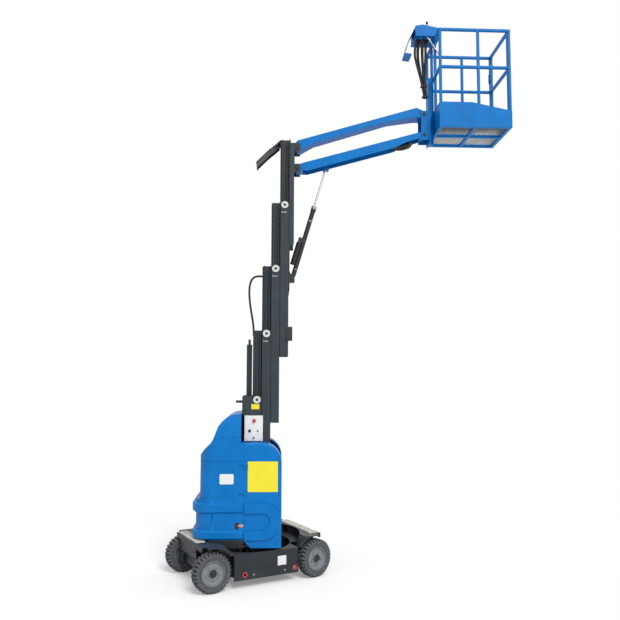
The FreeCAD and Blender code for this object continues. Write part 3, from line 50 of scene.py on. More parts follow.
bl_info = {
    "name": "Vertical mast lift",
    "version": (1, 0, 0),
    "blender": (4, 5, 0),
    "location": "3D View > Sidebar > Mast Lift",
    "description": "Finishes and detail pieces of a battery-electric vertical mast lift",
    "category": "Object",
}

CHASSIS_TURN = Matrix.Rotation(math.radians(26.5), 4, "Z")
STEER = math.radians(10)
AXLE_HEIGHT, REAR_AXLE_X, FRONT_AXLE_X = 0.203, -0.605, 0.585
REAR_TRACK_HALF, KINGPIN_HALF, KINGPIN_TO_WHEEL = 0.435, 0.355, 0.08

# The hood's right side, and the height under which its foot is finished black: the black of the base under the
# hood, and painted shade of the recess there.
HOOD_SIDE = -0.405
HOOD_FOOT = 0.4615

# The lower arm's root pin and tip pin, the upper arm's pins above them, and where the pins' heads stand.
ARM_ROOT_X, ARM_ROOT_Z = 0.525, 4.613
TIP = Vector((2.02534, 0.0, 5.04036))
ARM_SPACING = 0.25
PIN_END = 0.104

# Half the width over a mast section, with the clearance of a plate on it.
MAST_SKIN = 0.2101

BARREL_FOOT = (0.478, 0.0, 3.328)
BARREL_RISE = math.radians(73.465)

# The mast hose's x and z in millimetres, from its upper end to its lower one.
MAST_HOSE = [(147.7, 3355), (95, 3360), (42, 3354), (0, 3318), (-23, 3235), (-24, 3130), (-8, 2990),
             (16, 2860), (33, 2740), (33, 2660)]
HOSE_Y = 0.070


def size(name, default, description, low=0.0):
    return FloatProperty(name=name, description=description, default=default, min=low, unit="LENGTH",
                         precision=4)


def colour(name, default, description):
    return FloatVectorProperty(name=name, description=description, default=default, size=3, min=0.0, max=1.0,
                               subtype="COLOR")


class LiftSizes(PropertyGroup):
    """Sizes of the detail pieces, in metres."""

    plate_edge: size("Plate edge", 0.0014, "Rounding along the edges of plates and folded sheet")
    casting_edge: size("Casting edge", 0.004, "Rounding along the edges of castings and thick blocks")
    hood_edge: size("Hood edge", 0.0022, "Rounding along the open edges of the hood")
    rib_edge: size("Rib edge", 0.010, "Rounding along the sloped edges of the hood's ribs")
    tube_edge: size("Tube corner", 0.008, "Corner radius of the square guard rail tube")
    rail_tube: size("Guard rail tube", 0.034, "Width of the square guard rail tube")
    tread_notches: IntProperty(name="Tread notches", description="Notches round each shoulder of a tyre",
                               default=30, min=8, max=64)
    notch_depth: size("Notch depth", 0.013, "Depth of a notch in the tyre's shoulder")
    wheel_bolts: IntProperty(name="Wheel bolts", description="Bolts round a rim's disc", default=5, min=3,
                             max=10)
    bolt_circle: size("Bolt circle", 0.066, "Radius of the circle that the wheel bolts stand on")
    grate_pitch: size("Grating pitch", 0.034, "Distance from one floor grating bar to the next")
    sign_side: size("Sign side", 0.322, "Side of the square plate on the right door")


class LiftColours(PropertyGroup):
    """Colours of the finishes."""

    hood_blue: colour("Hood blue", (0.0, 0.155, 0.475), "Moulded hood and doors")
    jib_blue: colour("Jib blue", (0.0, 0.160, 0.490), "Painted jib, platform and console")
    mast_grey: colour("Mast grey", (0.029, 0.039, 0.047), "Painted mast sections")
    chassis_black: colour("Chassis black", (0.015, 0.019, 0.025), "Painted chassis")
    dust: colour("Dust", (0.12, 0.115, 0.095), "Dried dust on faces that look up")
    tyre_grey: colour("Tyre grey", (0.066, 0.072, 0.081), "Tyres")
    rim_grey: colour("Rim grey", (0.185, 0.202, 0.218), "Painted rims")
    pad_beige: colour("Step pad", (0.72, 0.71, 0.62), "Step pads")
    panel_white: colour("Panel white", (0.72, 0.73, 0.73), "Ground control panel and blank plates")
    sign_yellow: colour("Sign yellow", (0.80, 0.68, 0.012), "Blank yellow plates")
    stop_red: colour("Stop red", (0.50, 0.022, 0.020), "Emergency stop and eye marks")


def sizes():
    return bpy.context.scene.lift_sizes


def colours():
    return bpy.context.scene.lift_colours


# ---- finishes

FINISHES = {}


def calculated(tree, operation, first, second):
    """The result of a math node on two sockets, or on a socket and a number."""
    made = tree.nodes.new("ShaderNodeMath")
    made.operation = operation
    tree.links.new(first, made.inputs[0])
    if isinstance(second, (int, float)):
        made.inputs[1].default_value = second
    else:
        tree.links.new(second, made.inputs[1])
    return made.outputs["Value"]


class Recipe:
    """A material's node tree, built a line at a time."""

    def __init__(self, name):
        self.material = bpy.data.materials.new(name)
        self.material.use_nodes = True
        self.tree = self.material.node_tree
        self.shader = self.tree.nodes["Principled BSDF"]
        self.place = self.node("ShaderNodeTexCoord").outputs["Object"]

    def node(self, kind, **settings):
        made = self.tree.nodes.new(kind)
        for key, value in settings.items():
            setattr(made, key, value)
        return made

    def join(self, source, target):
        self.tree.links.new(source, target)

    def noise(self, scale, detail=4.0, rough=0.55, stretch=(1, 1, 1)):
        mapping = self.node("ShaderNodeMapping")
        mapping.inputs["Scale"].default_value = stretch
        made = self.node("ShaderNodeTexNoise")
        made.inputs["Scale"].default_value = scale
        made.inputs["Detail"].default_value = detail
        made.inputs["Roughness"].default_value = rough
        self.join(self.place, mapping.inputs["Vector"])
        self.join(mapping.outputs["Vector"], made.inputs["Vector"])
        return made.outputs["Fac"]

    def band(self, value, low, high, to_low=0.0, to_high=1.0):
        made = self.node("ShaderNodeMapRange")
        for key, number in (("From Min", low), ("From Max", high), ("To Min", to_low), ("To Max", to_high)):
            made.inputs[key].default_value = number
        self.join(value, made.inputs["Value"])
        return made.outputs["Result"]

    def times(self, first, second):
        return calculated(self.tree, "MULTIPLY", first, second)

    def mix(self, amount, first, second):
        made = self.node("ShaderNodeMix", data_type="RGBA")
        self.join(amount, made.inputs["Factor"])
        for source, target in ((first, made.inputs["A"]), (second, made.inputs["B"])):
            if isinstance(source, bpy.types.NodeSocket):
                self.join(source, target)
            else:
                target.default_value = (*source, 1.0)
        return made.outputs["Result"]

    def attribute(self, name):
        return self.node("ShaderNodeAttribute", attribute_name=name).outputs["Fac"]

    def facing_up(self):
        split = self.node("ShaderNodeSeparateXYZ")
        self.join(self.node("ShaderNodeNewGeometry").outputs["Normal"], split.inputs["Vector"])
        return split.outputs["Z"]

    def bump(self, height, strength, distance):
        made = self.node("ShaderNodeBump")
        made.inputs["Strength"].default_value = strength
        made.inputs["Distance"].default_value = distance
        self.join(height, made.inputs["Height"])
        self.join(made.outputs["Normal"], self.shader.inputs["Normal"])


def tone(shade, amount):
    return tuple(min(1.0, channel * amount) for channel in shade)


def finish(name, shade, rough, metal=0.0, spread=0.12, patch=5.0, grain=260.0, grain_depth=0.0003, dust=0.0,
           streaks=0.0, wear_and_sheen=None, coat=0.0, specular=0.5, grime=0.0):
    """A surface with uneven tone, fine grain, and dust, streaks or an edge colour on rounded edges where asked:
    edge wear, and on the hood painted highlight as well.
    """
    if name in FINISHES:
        return FINISHES[name]
    made = Recipe(name)
    shader = made.shader
    shader.inputs["Metallic"].default_value = metal
    shader.inputs["Coat Weight"].default_value = coat
    shader.inputs["Coat Roughness"].default_value = 0.12
    shader.inputs["Specular IOR Level"].default_value = specular
    base = made.mix(made.band(made.noise(patch), 0.3, 0.7), tone(shade, 1 - spread), tone(shade, 1 + spread))
    if grime:
        base = made.mix(made.times(made.band(made.noise(patch * 3.1, 6.0, 0.7), 0.52, 0.78), grime), base,
                        tone(shade, 0.35))
    if streaks:
        runs = made.band(made.noise(30.0, 3.0, 0.6, (1.0, 1.0, 0.05)), 0.5, 0.72)
        base = made.mix(made.times(runs, streaks), base, tone(shade, 1.9))
    if wear_and_sheen:
        patchy = made.band(made.noise(55.0, 5.0, 0.7), 0.42, 0.6)
        base = made.mix(made.times(made.attribute("wear_and_sheen"), patchy), base, wear_and_sheen)
    if dust:
        lying = made.times(made.band(made.facing_up(), 0.35, 0.95),
                           made.band(made.noise(14.0, 6.0, 0.65), 0.3, 0.75))
        base = made.mix(made.times(lying, dust), base, tuple(colours().dust))
    made.join(base, shader.inputs["Base Color"])
    made.join(made.band(made.noise(patch * 4, 5.0), 0.3, 0.7, rough[0], rough[1]), shader.inputs["Roughness"])
    made.bump(made.noise(grain, 3.0), 0.35, grain_depth)
    FINISHES[name] = made.material
    return made.material


# Its lighter cyan-blue on rounded edges is painted highlight on the ribs' slopes as well as wear.
def hood_blue():
    return finish("moulded_blue", tuple(colours().hood_blue), (0.30, 0.44), spread=0.10, patch=3.5,
                  grain=420.0, grain_depth=0.0004, wear_and_sheen=(0.02, 0.24, 0.58), specular=0.18, grime=0.12)


def jib_blue():
    return finish("jib_blue_paint", tuple(colours().jib_blue), (0.32, 0.48), spread=0.10, patch=6.0,
                  wear_and_sheen=(0.01, 0.10, 0.28), specular=0.18, grime=0.15)


def mast_grey():
    return finish("mast_paint", tuple(colours().mast_grey), (0.34, 0.52), spread=0.14, patch=7.0,
                  streaks=0.18, wear_and_sheen=(0.13, 0.125, 0.115), specular=0.3, grime=0.3)


def chassis_black():
    return finish("chassis_paint", tuple(colours().chassis_black), (0.36, 0.58), spread=0.2, patch=6.0,
                  dust=0.4, wear_and_sheen=(0.09, 0.088, 0.082), specular=0.4, grime=0.3)


def black_trim():
    return finish("black_trim", (0.012, 0.0125, 0.014), (0.35, 0.55), spread=0.2, patch=20.0,
                  wear_and_sheen=(0.06, 0.06, 0.06))


def cast_grey():
    return finish("cast_weight", (0.045, 0.05, 0.055), (0.55, 0.8), spread=0.25, patch=12.0, grain=120.0,
                  grain_depth=0.0012, wear_and_sheen=(0.1, 0.09, 0.08))


def bare_steel():
    return finish("machined_steel", (0.42, 0.42, 0.43), (0.25, 0.42), metal=1.0, spread=0.1, patch=30.0,
                  grain=500.0, grain_depth=0.0001)


def chrome():
    return finish("chrome", (0.72, 0.73, 0.75), (0.06, 0.14), metal=1.0, spread=0.03, patch=30.0, grain=300.0,
                  grain_depth=0.00002)


def black_rubber():
    return finish("black_rubber", (0.016, 0.016, 0.017), (0.55, 0.75), spread=0.25, patch=25.0, grain=300.0,
                  grain_depth=0.0004)


# Darker hood blue: painted shade of the recessed latches and slots.
def blue_trim_painted_shade():
    return finish("blue_trim_painted_shade", tone(tuple(colours().hood_blue), 0.62), (0.4, 0.55), spread=0.1, patch=30.0,
                  specular=0.3)


def pale_ring():
    return finish("pale_ring", (0.60, 0.61, 0.60), (0.35, 0.5), spread=0.06, patch=40.0, specular=0.4)


def tan_plug():
    return finish("tan_plug", (0.62, 0.33, 0.20), (0.5, 0.65), spread=0.12, patch=40.0)


def white_panel():
    return finish("white_panel", tuple(colours().panel_white), (0.32, 0.45), spread=0.04, patch=9.0,
                  grime=0.06, coat=0.2)


def yellow_plate():
    return finish("yellow_plate", tuple(colours().sign_yellow), (0.28, 0.4), spread=0.03, patch=8.0,
                  grime=0.05, coat=0.3)


def red_plastic():
    return finish("red_plastic", tuple(colours().stop_red), (0.25, 0.38), spread=0.06, patch=30.0, coat=0.3)


def rim_paint():
    return finish("rim_paint", tuple(colours().rim_grey), (0.38, 0.55), spread=0.08, patch=14.0,
                  wear_and_sheen=(0.2, 0.19, 0.17), grime=0.35)


def battery_case():
    return finish("battery_case", (0.05, 0.052, 0.056), (0.5, 0.7), spread=0.15, patch=10.0, dust=0.4)


def galvanised():
    return finish("galvanised", (0.34, 0.35, 0.35), (0.4, 0.6), metal=0.6, spread=0.22, patch=22.0,
                  grain=90.0, grain_depth=0.0003, wear_and_sheen=(0.3, 0.25, 0.18))


def grip_pad():
    """Moulded step pad with a field of small round studs."""
    if "grip_pad" in FINISHES:
        return FINISHES["grip_pad"]
    made = Recipe("grip_pad")
    shade = tuple(colours().pad_beige)
    base = made.mix(made.band(made.noise(18.0, 6.0, 0.7), 0.35, 0.7), tone(shade, 0.62), tone(shade, 1.1))
    base = made.mix(made.band(made.noise(70.0, 4.0), 0.55, 0.75), base, tone(shade, 0.4))
    made.join(base, made.shader.inputs["Base Color"])
    made.shader.inputs["Roughness"].default_value = 0.8
    cells = made.node("ShaderNodeTexVoronoi", feature="F1")
    cells.inputs["Scale"].default_value = 110.0
    cells.inputs["Randomness"].default_value = 0.0
    made.join(made.place, cells.inputs["Vector"])
    made.bump(made.band(cells.outputs["Distance"], 0.2, 0.42, 1.0, 0.0), 0.7, 0.0012)
    FINISHES["grip_pad"] = made.material
    return made.material


def tyre_rubber():
    """Grey solid rubber: paler where it scuffs, with painted shade in the notches and grooves."""
    if "tyre_rubber" in FINISHES:
        return FINISHES["tyre_rubber"]
    made = Recipe("tyre_rubber")
    shade = tuple(colours().tyre_grey)
    base = made.mix(made.band(made.noise(16.0, 6.0, 0.65), 0.3, 0.72), tone(shade, 0.72), tone(shade, 1.12))
    base = made.mix(made.times(made.band(made.noise(48.0, 5.0, 0.7), 0.5, 0.74), 0.45), base,
                    (0.27, 0.25, 0.22))
    base = made.mix(made.attribute("notch_painted_shade"), base, tone(shade, 0.22))
    made.join(base, made.shader.inputs["Base Color"])
    made.join(made.band(made.noise(30.0), 0.3, 0.7, 0.62, 0.85), made.shader.inputs["Roughness"])
    made.bump(made.noise(220.0, 4.0), 0.4, 0.0006)
    FINISHES["tyre_rubber"] = made.material
    return made.material


# ---- making pieces


def node_copy(*nodes):
    """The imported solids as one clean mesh: doubles merged and flat faces joined."""
    made = bmesh.new()
    for name in nodes:
        made.from_mesh(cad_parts[name].data)
    bmesh.ops.remove_doubles(made, verts=made.verts, dist=0.00002)
    bmesh.ops.dissolve_limit(made, angle_limit=math.radians(0.6), verts=made.verts, edges=made.edges,
                             delimit={"NORMAL"})
    return made


def sharp_edges(made, low=28.0, high=181.0):
    low, high = math.radians(low), math.radians(high)
    return [edge for edge in made.edges
            if len(edge.link_faces) == 2 and low < edge.calc_face_angle(0.0) < high]


def round_edges(made, edges, width, steps=2):
    """Rounds edges and marks the new faces for the edge colour: wear, and on the hood painted highlight as
    well.
    """
    layer = made.faces.layers.float.get("wear_and_sheen") or made.faces.layers.float.new("wear_and_sheen")
    result = bmesh.ops.bevel(made, geom=list(edges), offset=width, offset_type="OFFSET", affect="EDGES",
                             segments=steps, profile=0.5, material=-1, clamp_overlap=True, loop_slide=True)
    for face in result["faces"]:
        face[layer] = 1.0
    return made


def put(name, made, body, material, nodes=(), smooth=34.0):
    """Turns a bmesh into a piece that rides a body, and stands for nodes where they are given."""
    mesh = bpy.data.meshes.new(name)
    made.to_mesh(mesh)
    made.free()
    mesh.materials.append(material)
    mesh.shade_smooth()
    mesh.set_sharp_from_angle(angle=math.radians(smooth))
    piece = bpy.data.objects.new(name, mesh)
    bpy.context.scene.collection.objects.link(piece)
    weighted = piece.modifiers.new("even_shading", "WEIGHTED_NORMAL")
    weighted.keep_sharp = True
    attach(piece, body)
    if nodes:
        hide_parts(*nodes)
    return piece


def soften(node, body, material, width, steps=2):
    """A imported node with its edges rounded, in its finish."""
    made = node_copy(node)
    round_edges(made, sharp_edges(made), width, steps)
    return put(node + "_finished", made, body, material, (node,))


def block(made, low, high, edge=0.0, steps=2):
    """A box between two corners with rounded edges, added to a mesh."""
    fresh = bmesh.ops.create_cube(made, size=1.0)["verts"]
    low, high = Vector(low), Vector(high)
    bmesh.ops.scale(made, vec=high - low, verts=fresh)
    bmesh.ops.translate(made, vec=(low + high) / 2, verts=fresh)
    if edge:
        edges = {e for v in fresh for e in v.link_edges}
        fresh = list({v for f in bmesh.ops.bevel(made, geom=list(edges), offset=edge, offset_type="OFFSET",
                                                 affect="EDGES", segments=steps, profile=0.5, material=-1,
                                                 clamp_overlap=True)["faces"] for v in f.verts})
    return fresh


def along(direction):
    """A turn that takes +Z to a direction."""
    return Vector((0, 0, 1)).rotation_difference(Vector(direction)).to_matrix().to_4x4()


def disc(made, centre, direction, radius, depth, edge=0.0, count=32):
    """A short round or hexagonal part standing on a centre, its outer rim rounded."""
    fresh = bmesh.ops.create_cone(made, cap_ends=True, cap_tris=False, segments=count, radius1=radius,
                                  radius2=radius, depth=depth)["verts"]
    bmesh.ops.translate(made, vec=(0, 0, depth / 2), verts=fresh)
    if edge:
        rim = [e for e in {e for v in fresh for e in v.link_edges}
               if all(v.co.z > depth - 1e-6 for v in e.verts)]
        result = bmesh.ops.bevel(made, geom=rim, offset=edge, offset_type="OFFSET", affect="EDGES",
                                 segments=2, profile=0.5, material=-1, clamp_overlap=True)
        fresh = list({v for v in fresh if v.is_valid} | {v for f in result["faces"] for v in f.verts})
    bmesh.ops.transform(made, matrix=Matrix.Translation(centre) @ along(direction), verts=fresh)
    return fresh


def turned(made, profile, matrix, count=64):
    """A closed profile of radius and height turned about Z, then moved into place."""
    verts = [made.verts.new((radius, 0.0, height)) for radius, height in profile]
    edges = [made.edges.new((a, b)) for a, b in zip(verts, verts[1:] + verts[:1])]
    before = set(made.verts) - set(verts)
    bmesh.ops.spin(made, geom=verts + edges, cent=(0, 0, 0), axis=(0, 0, 1), dvec=(0, 0, 0), angle=math.tau,
                   steps=count, use_merge=True, use_duplicate=False, use_normal_flip=False)
    fresh = [v for v in made.verts if v not in before]
    bmesh.ops.remove_doubles(made, verts=fresh, dist=1e-6)
    fresh = [v for v in made.verts if v not in before]
    faces = list({f for v in fresh for f in v.link_faces})
    bmesh.ops.recalc_face_normals(made, faces=faces)
    bmesh.ops.transform(made, matrix=matrix, verts=fresh)
    return fresh


def ring(made, centre, direction, outer, inner, depth, count=48):
    edge = min(0.2 * depth, 0.2 * (outer - inner))
    profile = [(inner, 0.0), (outer, 0.0), (outer, depth - edge), (outer - edge, depth),
               (inner + edge, depth), (inner, depth - edge)]
    return turned(made, profile, Matrix.Translation(centre) @ along(direction), count)


def plate(made, centre, across, up, width, height, thick, corner=0.006):
    """A thin plate with rounded corners, its back on the centre point."""
    across, up = Vector(across).normalized(), Vector(up).normalized()
    out = across.cross(up)
    fresh = bmesh.ops.create_cube(made, size=1.0)["verts"]
    bmesh.ops.scale(made, vec=(width, height, thick), verts=fresh)
    bmesh.ops.translate(made, vec=(0, 0, thick / 2), verts=fresh)
    upright = [e for e in {e for v in fresh for e in v.link_edges}
               if abs(e.verts[0].co.z - e.verts[1].co.z) > thick / 2]
    result = bmesh.ops.bevel(made, geom=upright, offset=corner, offset_type="OFFSET", affect="EDGES",
                             segments=4, profile=0.5, material=-1, clamp_overlap=True)
    fresh = list({v for v in fresh if v.is_valid} | {v for f in result["faces"] for v in f.verts})
    basis = Matrix((across, up, out)).transposed().to_4x4()
    bmesh.ops.transform(made, matrix=Matrix.Translation(centre) @ basis, verts=fresh)
    return fresh


def hexagon(made, centre, direction, radius, depth):
    disc(made, centre, direction, radius * 1.35, depth * 0.25, count=24)
    return disc(made, Vector(centre) + Vector(direction).normalized() * depth * 0.25, direction, radius,
                depth * 0.75, radius * 0.12, 6)


def wheel_matrix(end, facing):
    """A wheel's own frame: its middle, +Z outwards along the axle."""
    flip = Matrix.Identity(4) if facing > 0 else Matrix.Rotation(math.pi, 4, "Z")
    outward = Matrix.Rotation(-math.pi / 2, 4, "X")
    if end == "rear":
        centre = (REAR_AXLE_X, facing * REAR_TRACK_HALF, AXLE_HEIGHT)
        return CHASSIS_TURN @ Matrix.Translation(centre) @ flip @ outward
    kingpin = (FRONT_AXLE_X, facing * KINGPIN_HALF, AXLE_HEIGHT)
    steered = CHASSIS_TURN @ Matrix.Translation(kingpin) @ Matrix.Rotation(STEER, 4, "Z")
    return steered @ Matrix.Translation((0, facing * KINGPIN_TO_WHEEL, 0)) @ flip @ outward


WHEELS = [(end, side, facing) for end in ("rear", "front") for side, facing in (("left", 1), ("right", -1))]


class Making:
    """What every making step shares."""

    bl_options = {"REGISTER", "UNDO"}

    def execute(self, context):
        self.make(context)
        return {"FINISHED"}


# ---- hood and doors


def hood_piece(node, body):
    """A moulding: edges that turn by 30 to 62 degrees are the ribs' slopes and get the wide rounding, whose
    faces take the hood's lighter edge colour: wear, and painted highlight on the slopes.
    """
    made = node_copy(node)
    round_edges(made, [e for e in sharp_edges(made, 30, 62) if e.calc_length() > 0.012], sizes().rib_edge, 3)
    round_edges(made, sharp_edges(made, 62), sizes().hood_edge, 2)
    # Below the foot the moulding is black trim: the black base under the hood, and painted shade of its recess.
    if node == "hood_lower":
        everything = list(made.verts) + list(made.edges) + list(made.faces)
        bmesh.ops.bisect_plane(made, geom=everything, dist=0.00001, plane_co=(0, 0, HOOD_FOOT),
                               plane_no=(0, 0, 1))
        for face in made.faces:
            face.material_index = 1 if face.calc_center_median().z < HOOD_FOOT else 0
    piece = put(node + "_moulding", made, body, hood_blue(), (node,), 40)
    if node == "hood_lower":
        piece.data.materials.append(black_trim())
    return piece


class LIFT_OT_hood(Making, Operator):
    """Moulded hood: lower and upper part, sill and both doors"""

    bl_idname = "lift.hood"
    bl_label = "Hood and doors"

    def make(self, context):
        for node, body in (("hood_lower", "turret"), ("hood_upper", "turret"), ("door_sill", "turret"),
                           ("side_door_left", "door_left"), ("side_door_right", "door_right")):
            hood_piece(node, body)


class LIFT_OT_hood_marks(Making, Operator):
    """Latches and slots in a darker blue as painted shade of their recesses, a black oval as painted shade of
    the socket hole, the plug, screws and blank plates on the hood and the right door
    """

    bl_idname = "lift.hood_marks"
    bl_label = "Hood marks"

    def make(self, context):
        side = HOOD_SIDE
        out, across, up = (0, -1, 0), (1, 0, 0), (0, 0, 1)
        made = bmesh.new()
        # Latches and slots, in a darker blue that is painted shade of their recesses.
        for z in (1.241, 0.939):
            plate(made, (-0.074, side - 0.0005, z), across, up, 0.050, 0.014, 0.004, 0.0069)
            disc(made, (-0.060, side - 0.0035, z), out, 0.0040, 0.003, 0.001, 20)
        for x in (-0.278, -0.150):
            plate(made, (x, side - 0.0005, 1.537), across, up, 0.050, 0.008, 0.0018, 0.0039)
        put("hood_latches", made, "turret", blue_trim_painted_shade())
        # A black oval sheet: painted shade of the socket hole beside the plug.
        made = bmesh.new()
        plate(made, (-0.108, side - 0.0002, 0.609), across, up, 0.045, 0.075, 0.0025, 0.0220)
        put("hood_hole_painted_shade", made, "turret", black_rubber())
        made = bmesh.new()
        plate(made, (-0.062, side - 0.0003, 0.611), across, up, 0.040, 0.026, 0.0020, 0.0080)
        disc(made, (-0.097, side - 0.0020, 0.611), (1, 0, 0), 0.0075, 0.030, 0.001, 24)
        put("hood_plug", made, "turret", tan_plug())
        made = bmesh.new()
        plate(made, (-0.224, side - 0.0005, 1.099), across, up, 0.150, 0.108, 0.0012, 0.014)
        put("hood_blank_plate", made, "turret", white_panel())
        made = bmesh.new()
        plate(made, (0.163, side - 0.0005, 1.124), across, up, sizes().sign_side, sizes().sign_side, 0.0016,
              0.003)
        put("door_square_plate", made, "door_right", yellow_plate())
        made = bmesh.new()
        for z in (1.24, 0.965):
            disc(made, (-0.005, side - 0.0005, z), out, 0.0055, 0.003, 0.001, 20)
        for x, z in ((0.335, 1.33), (0.335, 0.93), (0.30, 0.42)):
            disc(made, (x, side - 0.0005, z), out, 0.0065, 0.003, 0.001, 20)
        put("door_screws", made, "door_right", black_trim())


# ---- wheels


# A tyre's notches: facets to a notch and how many are cut, the radius they start at, and half the land between.
NOTCH_FACETS, NOTCH_CUT, NOTCH_INNER, NOTCH_LAND = 5, 2, 0.183, 0.02


def tyre(end, side, facing):
    """Solid tyre: a turned profile with notches pressed into both shoulders, half a step apart."""
    half = [(0.1255, 0.056), (0.131, 0.0588), (0.139, 0.0602), (0.1405, 0.0590), (0.1435, 0.0590),
            (0.1450, 0.0606), (0.160, 0.0626), (0.172, 0.0634), (0.182, 0.0622), (0.1905, 0.0560),
            (0.1985, 0.0485), (0.2022, 0.0420), (0.203, 0.0350), (0.203, 0.0095), (0.1985, 0.0070),
            (0.1985, 0.0020)]
    profile = [(r, -z) for r, z in half] + [(r, z) for r, z in reversed(half)]
    notches = sizes().tread_notches
    made = bmesh.new()
    turned(made, profile, Matrix.Identity(4), notches * NOTCH_FACETS)
    # Painted shade: the notches, their walls, the tread's middle groove and the groove by the rim are marked to
    # be darkened.
    layer = made.faces.layers.float.new("notch_painted_shade")
    cut = []
    for face in made.faces:
        middle = face.calc_center_median()
        radius = math.hypot(middle.x, middle.y)
        turn = math.atan2(middle.y, middle.x) / math.tau * notches * NOTCH_FACETS
        step = math.floor(turn + (NOTCH_FACETS / 2 if middle.z > 0 else 0)) % NOTCH_FACETS
        if radius > NOTCH_INNER and abs(middle.z) > NOTCH_LAND and step < NOTCH_CUT:
            cut.append(face)
        if radius < 0.2 and abs(middle.z) < 0.009 and radius > 0.19:
            face[layer] = 1.0
        if 0.138 < radius < 0.1452 and abs(middle.z) > 0.05:
            face[layer] = 0.5
    walls = bmesh.ops.inset_region(made, faces=cut, thickness=0.0010, depth=-sizes().notch_depth,
                                   use_even_offset=True, use_boundary=True)["faces"]
    for face in cut:
        face[layer] = 1.0
    for face in walls:
        face[layer] = 0.75
    bmesh.ops.transform(made, matrix=wheel_matrix(end, facing), verts=made.verts)
    name = "tyre_%s_%s" % (end, side)
    return put(name + "_lugged", made, "wheel_%s_%s" % (end, side), tyre_rubber(), (name,), 38)


def rim(end, side, facing):
    """Dished rim with its bolts and valve, and the black hub cap."""
    matrix = wheel_matrix(end, facing)
    out = matrix.to_3x3() @ Vector((0, 0, 1))
    face = [(0.1250, 0.0500), (0.1243, 0.0570), (0.1222, 0.0580), (0.1198, 0.0576), (0.1182, 0.0545),
            (0.1165, 0.0440), (0.1120, 0.0350), (0.1020, 0.0305), (0.0900, 0.0300), (0.0815, 0.0322),
            (0.0760, 0.0352), (0.0600, 0.0352), (0.0540, 0.0335), (0.0480, 0.0335), (0.0455, 0.0360),
            (0.0445, 0.0455), (0.0415, 0.0475), (0.0260, 0.0475), (0.0242, 0.0440)]
    back = [(0.0242, -0.0150), (0.0430, -0.0150), (0.0450, -0.0130), (0.0450, 0.0180), (0.1080, 0.0190),
            (0.1160, 0.0120), (0.1172, -0.0500), (0.1190, -0.0560), (0.1215, -0.0580), (0.1243, -0.0570),
            (0.1250, -0.0500)]
    made = bmesh.new()
    turned(made, face + back, matrix, 96)
    bolts = sizes().wheel_bolts
    for number in range(bolts):
        angle = math.tau * (number + 0.25) / bolts
        centre = matrix @ Vector((sizes().bolt_circle * math.cos(angle),
                                  sizes().bolt_circle * math.sin(angle), 0.0350))
        hexagon(made, centre, out, 0.0085, 0.0095)
    angle = math.tau * 0.58
    valve = matrix @ Vector((0.105 * math.cos(angle), 0.105 * math.sin(angle), 0.0305))
    disc(made, valve, out, 0.0045, 0.016, 0.001, 16)
    name = "rim_%s_%s" % (end, side)
    body = "wheel_%s_%s" % (end, side)
    put(name + "_dished", made, body, rim_paint(), (name,), 34)
    made = bmesh.new()
    cap = [(0.0245, 0.0470), (0.0405, 0.0475), (0.0400, 0.0515), (0.0370, 0.0535), (0.0260, 0.0540),
           (0.0235, 0.0525), (0.0130, 0.0525), (0.0110, 0.0545), (0.0003, 0.0550), (0.0003, 0.0470)]
    turned(made, cap, matrix, 64)
    put("hub_cap_%s_%s" % (end, side), made, body, black_trim())


class LIFT_OT_wheels(Making, Operator):
    """Four solid tyres with notched shoulders and four dished rims with bolts and hub caps"""

    bl_idname = "lift.wheels"
    bl_label = "Wheels"

    def make(self, context):
        for end, side, facing in WHEELS:
            tyre(end, side, facing)
            rim(end, side, facing)


# ---- chassis


class LIFT_OT_chassis(Making, Operator):
    """Chassis plates, covers, axles, knuckles and step pads with rounded edges and dusty black paint"""

    bl_idname = "lift.chassis"
    bl_label = "Chassis"

    def make(self, context):
        thin, thick = sizes().plate_edge, sizes().casting_edge
        for node in ("chassis_frame", "frame_rails", "side_skirts", "end_cover_rear", "end_cover_front"):
            soften(node, "chassis", chassis_black(), thin, 2)
        for node in ("rear_axle", "front_axle"):
            soften(node, "chassis", chassis_black(), thick / 2, 2)
        soften("knuckle_left", "knuckle_l", chassis_black(), 0.002, 2)
        soften("knuckle_right", "knuckle_r", chassis_black(), 0.002, 2)
        for node in ("step_pad_rear", "step_pad_front"):
            soften(node, "chassis", grip_pad(), 0.001, 2)
        soften("slewing_ring_fixed", "chassis", bare_steel(), 0.0015, 2)
        soften("chassis_ballast", "chassis", cast_grey(), thick, 2)


class LIFT_OT_chassis_marks(Making, Operator):
    """Blank plates, rings at the lashing eyes and screws on the skirts and end covers"""

    bl_idname = "lift.chassis_marks"
    bl_label = "Chassis marks"

    def make(self, context):
        turn = CHASSIS_TURN.to_3x3()

        def at(x, y, z):
            return turn @ Vector((x, y, z))

        red, dark, white, light = bmesh.new(), bmesh.new(), bmesh.new(), bmesh.new()
        for facing in (1, -1):
            out = turn @ Vector((0, facing, 0))
            face, ledge = facing * 0.4851, facing * 0.4931
            for x in (-0.255, 0.330):
                ring(red, at(x, ledge, 0.146), out, 0.027, 0.0142, 0.0018)
            for x in (-0.155, 0.205):
                hexagon(light, at(x, ledge, 0.137), out, 0.008, 0.006)
            hexagon(dark, at(0.09, face, 0.238), out, 0.009, 0.007)
            plate(white, at(0.176, face, 0.238), turn @ Vector((-facing, 0, 0)), (0, 0, 1), 0.101, 0.097,
                  0.0012, 0.004)
        for sign in (-1, 1):
            out = turn @ Vector((sign, 0, 0))
            for y in (-0.19, 0.19):
                hexagon(dark, at(sign * 0.7001, y, 0.36), out, 0.009, 0.007)
        put("lashing_eye_rings", red, "chassis", red_plastic())
        put("chassis_screws", dark, "chassis", black_trim())
        put("skirt_screws", light, "chassis", bare_steel())
        put("chassis_blank_plates", white, "chassis", white_panel())


# ---- turret


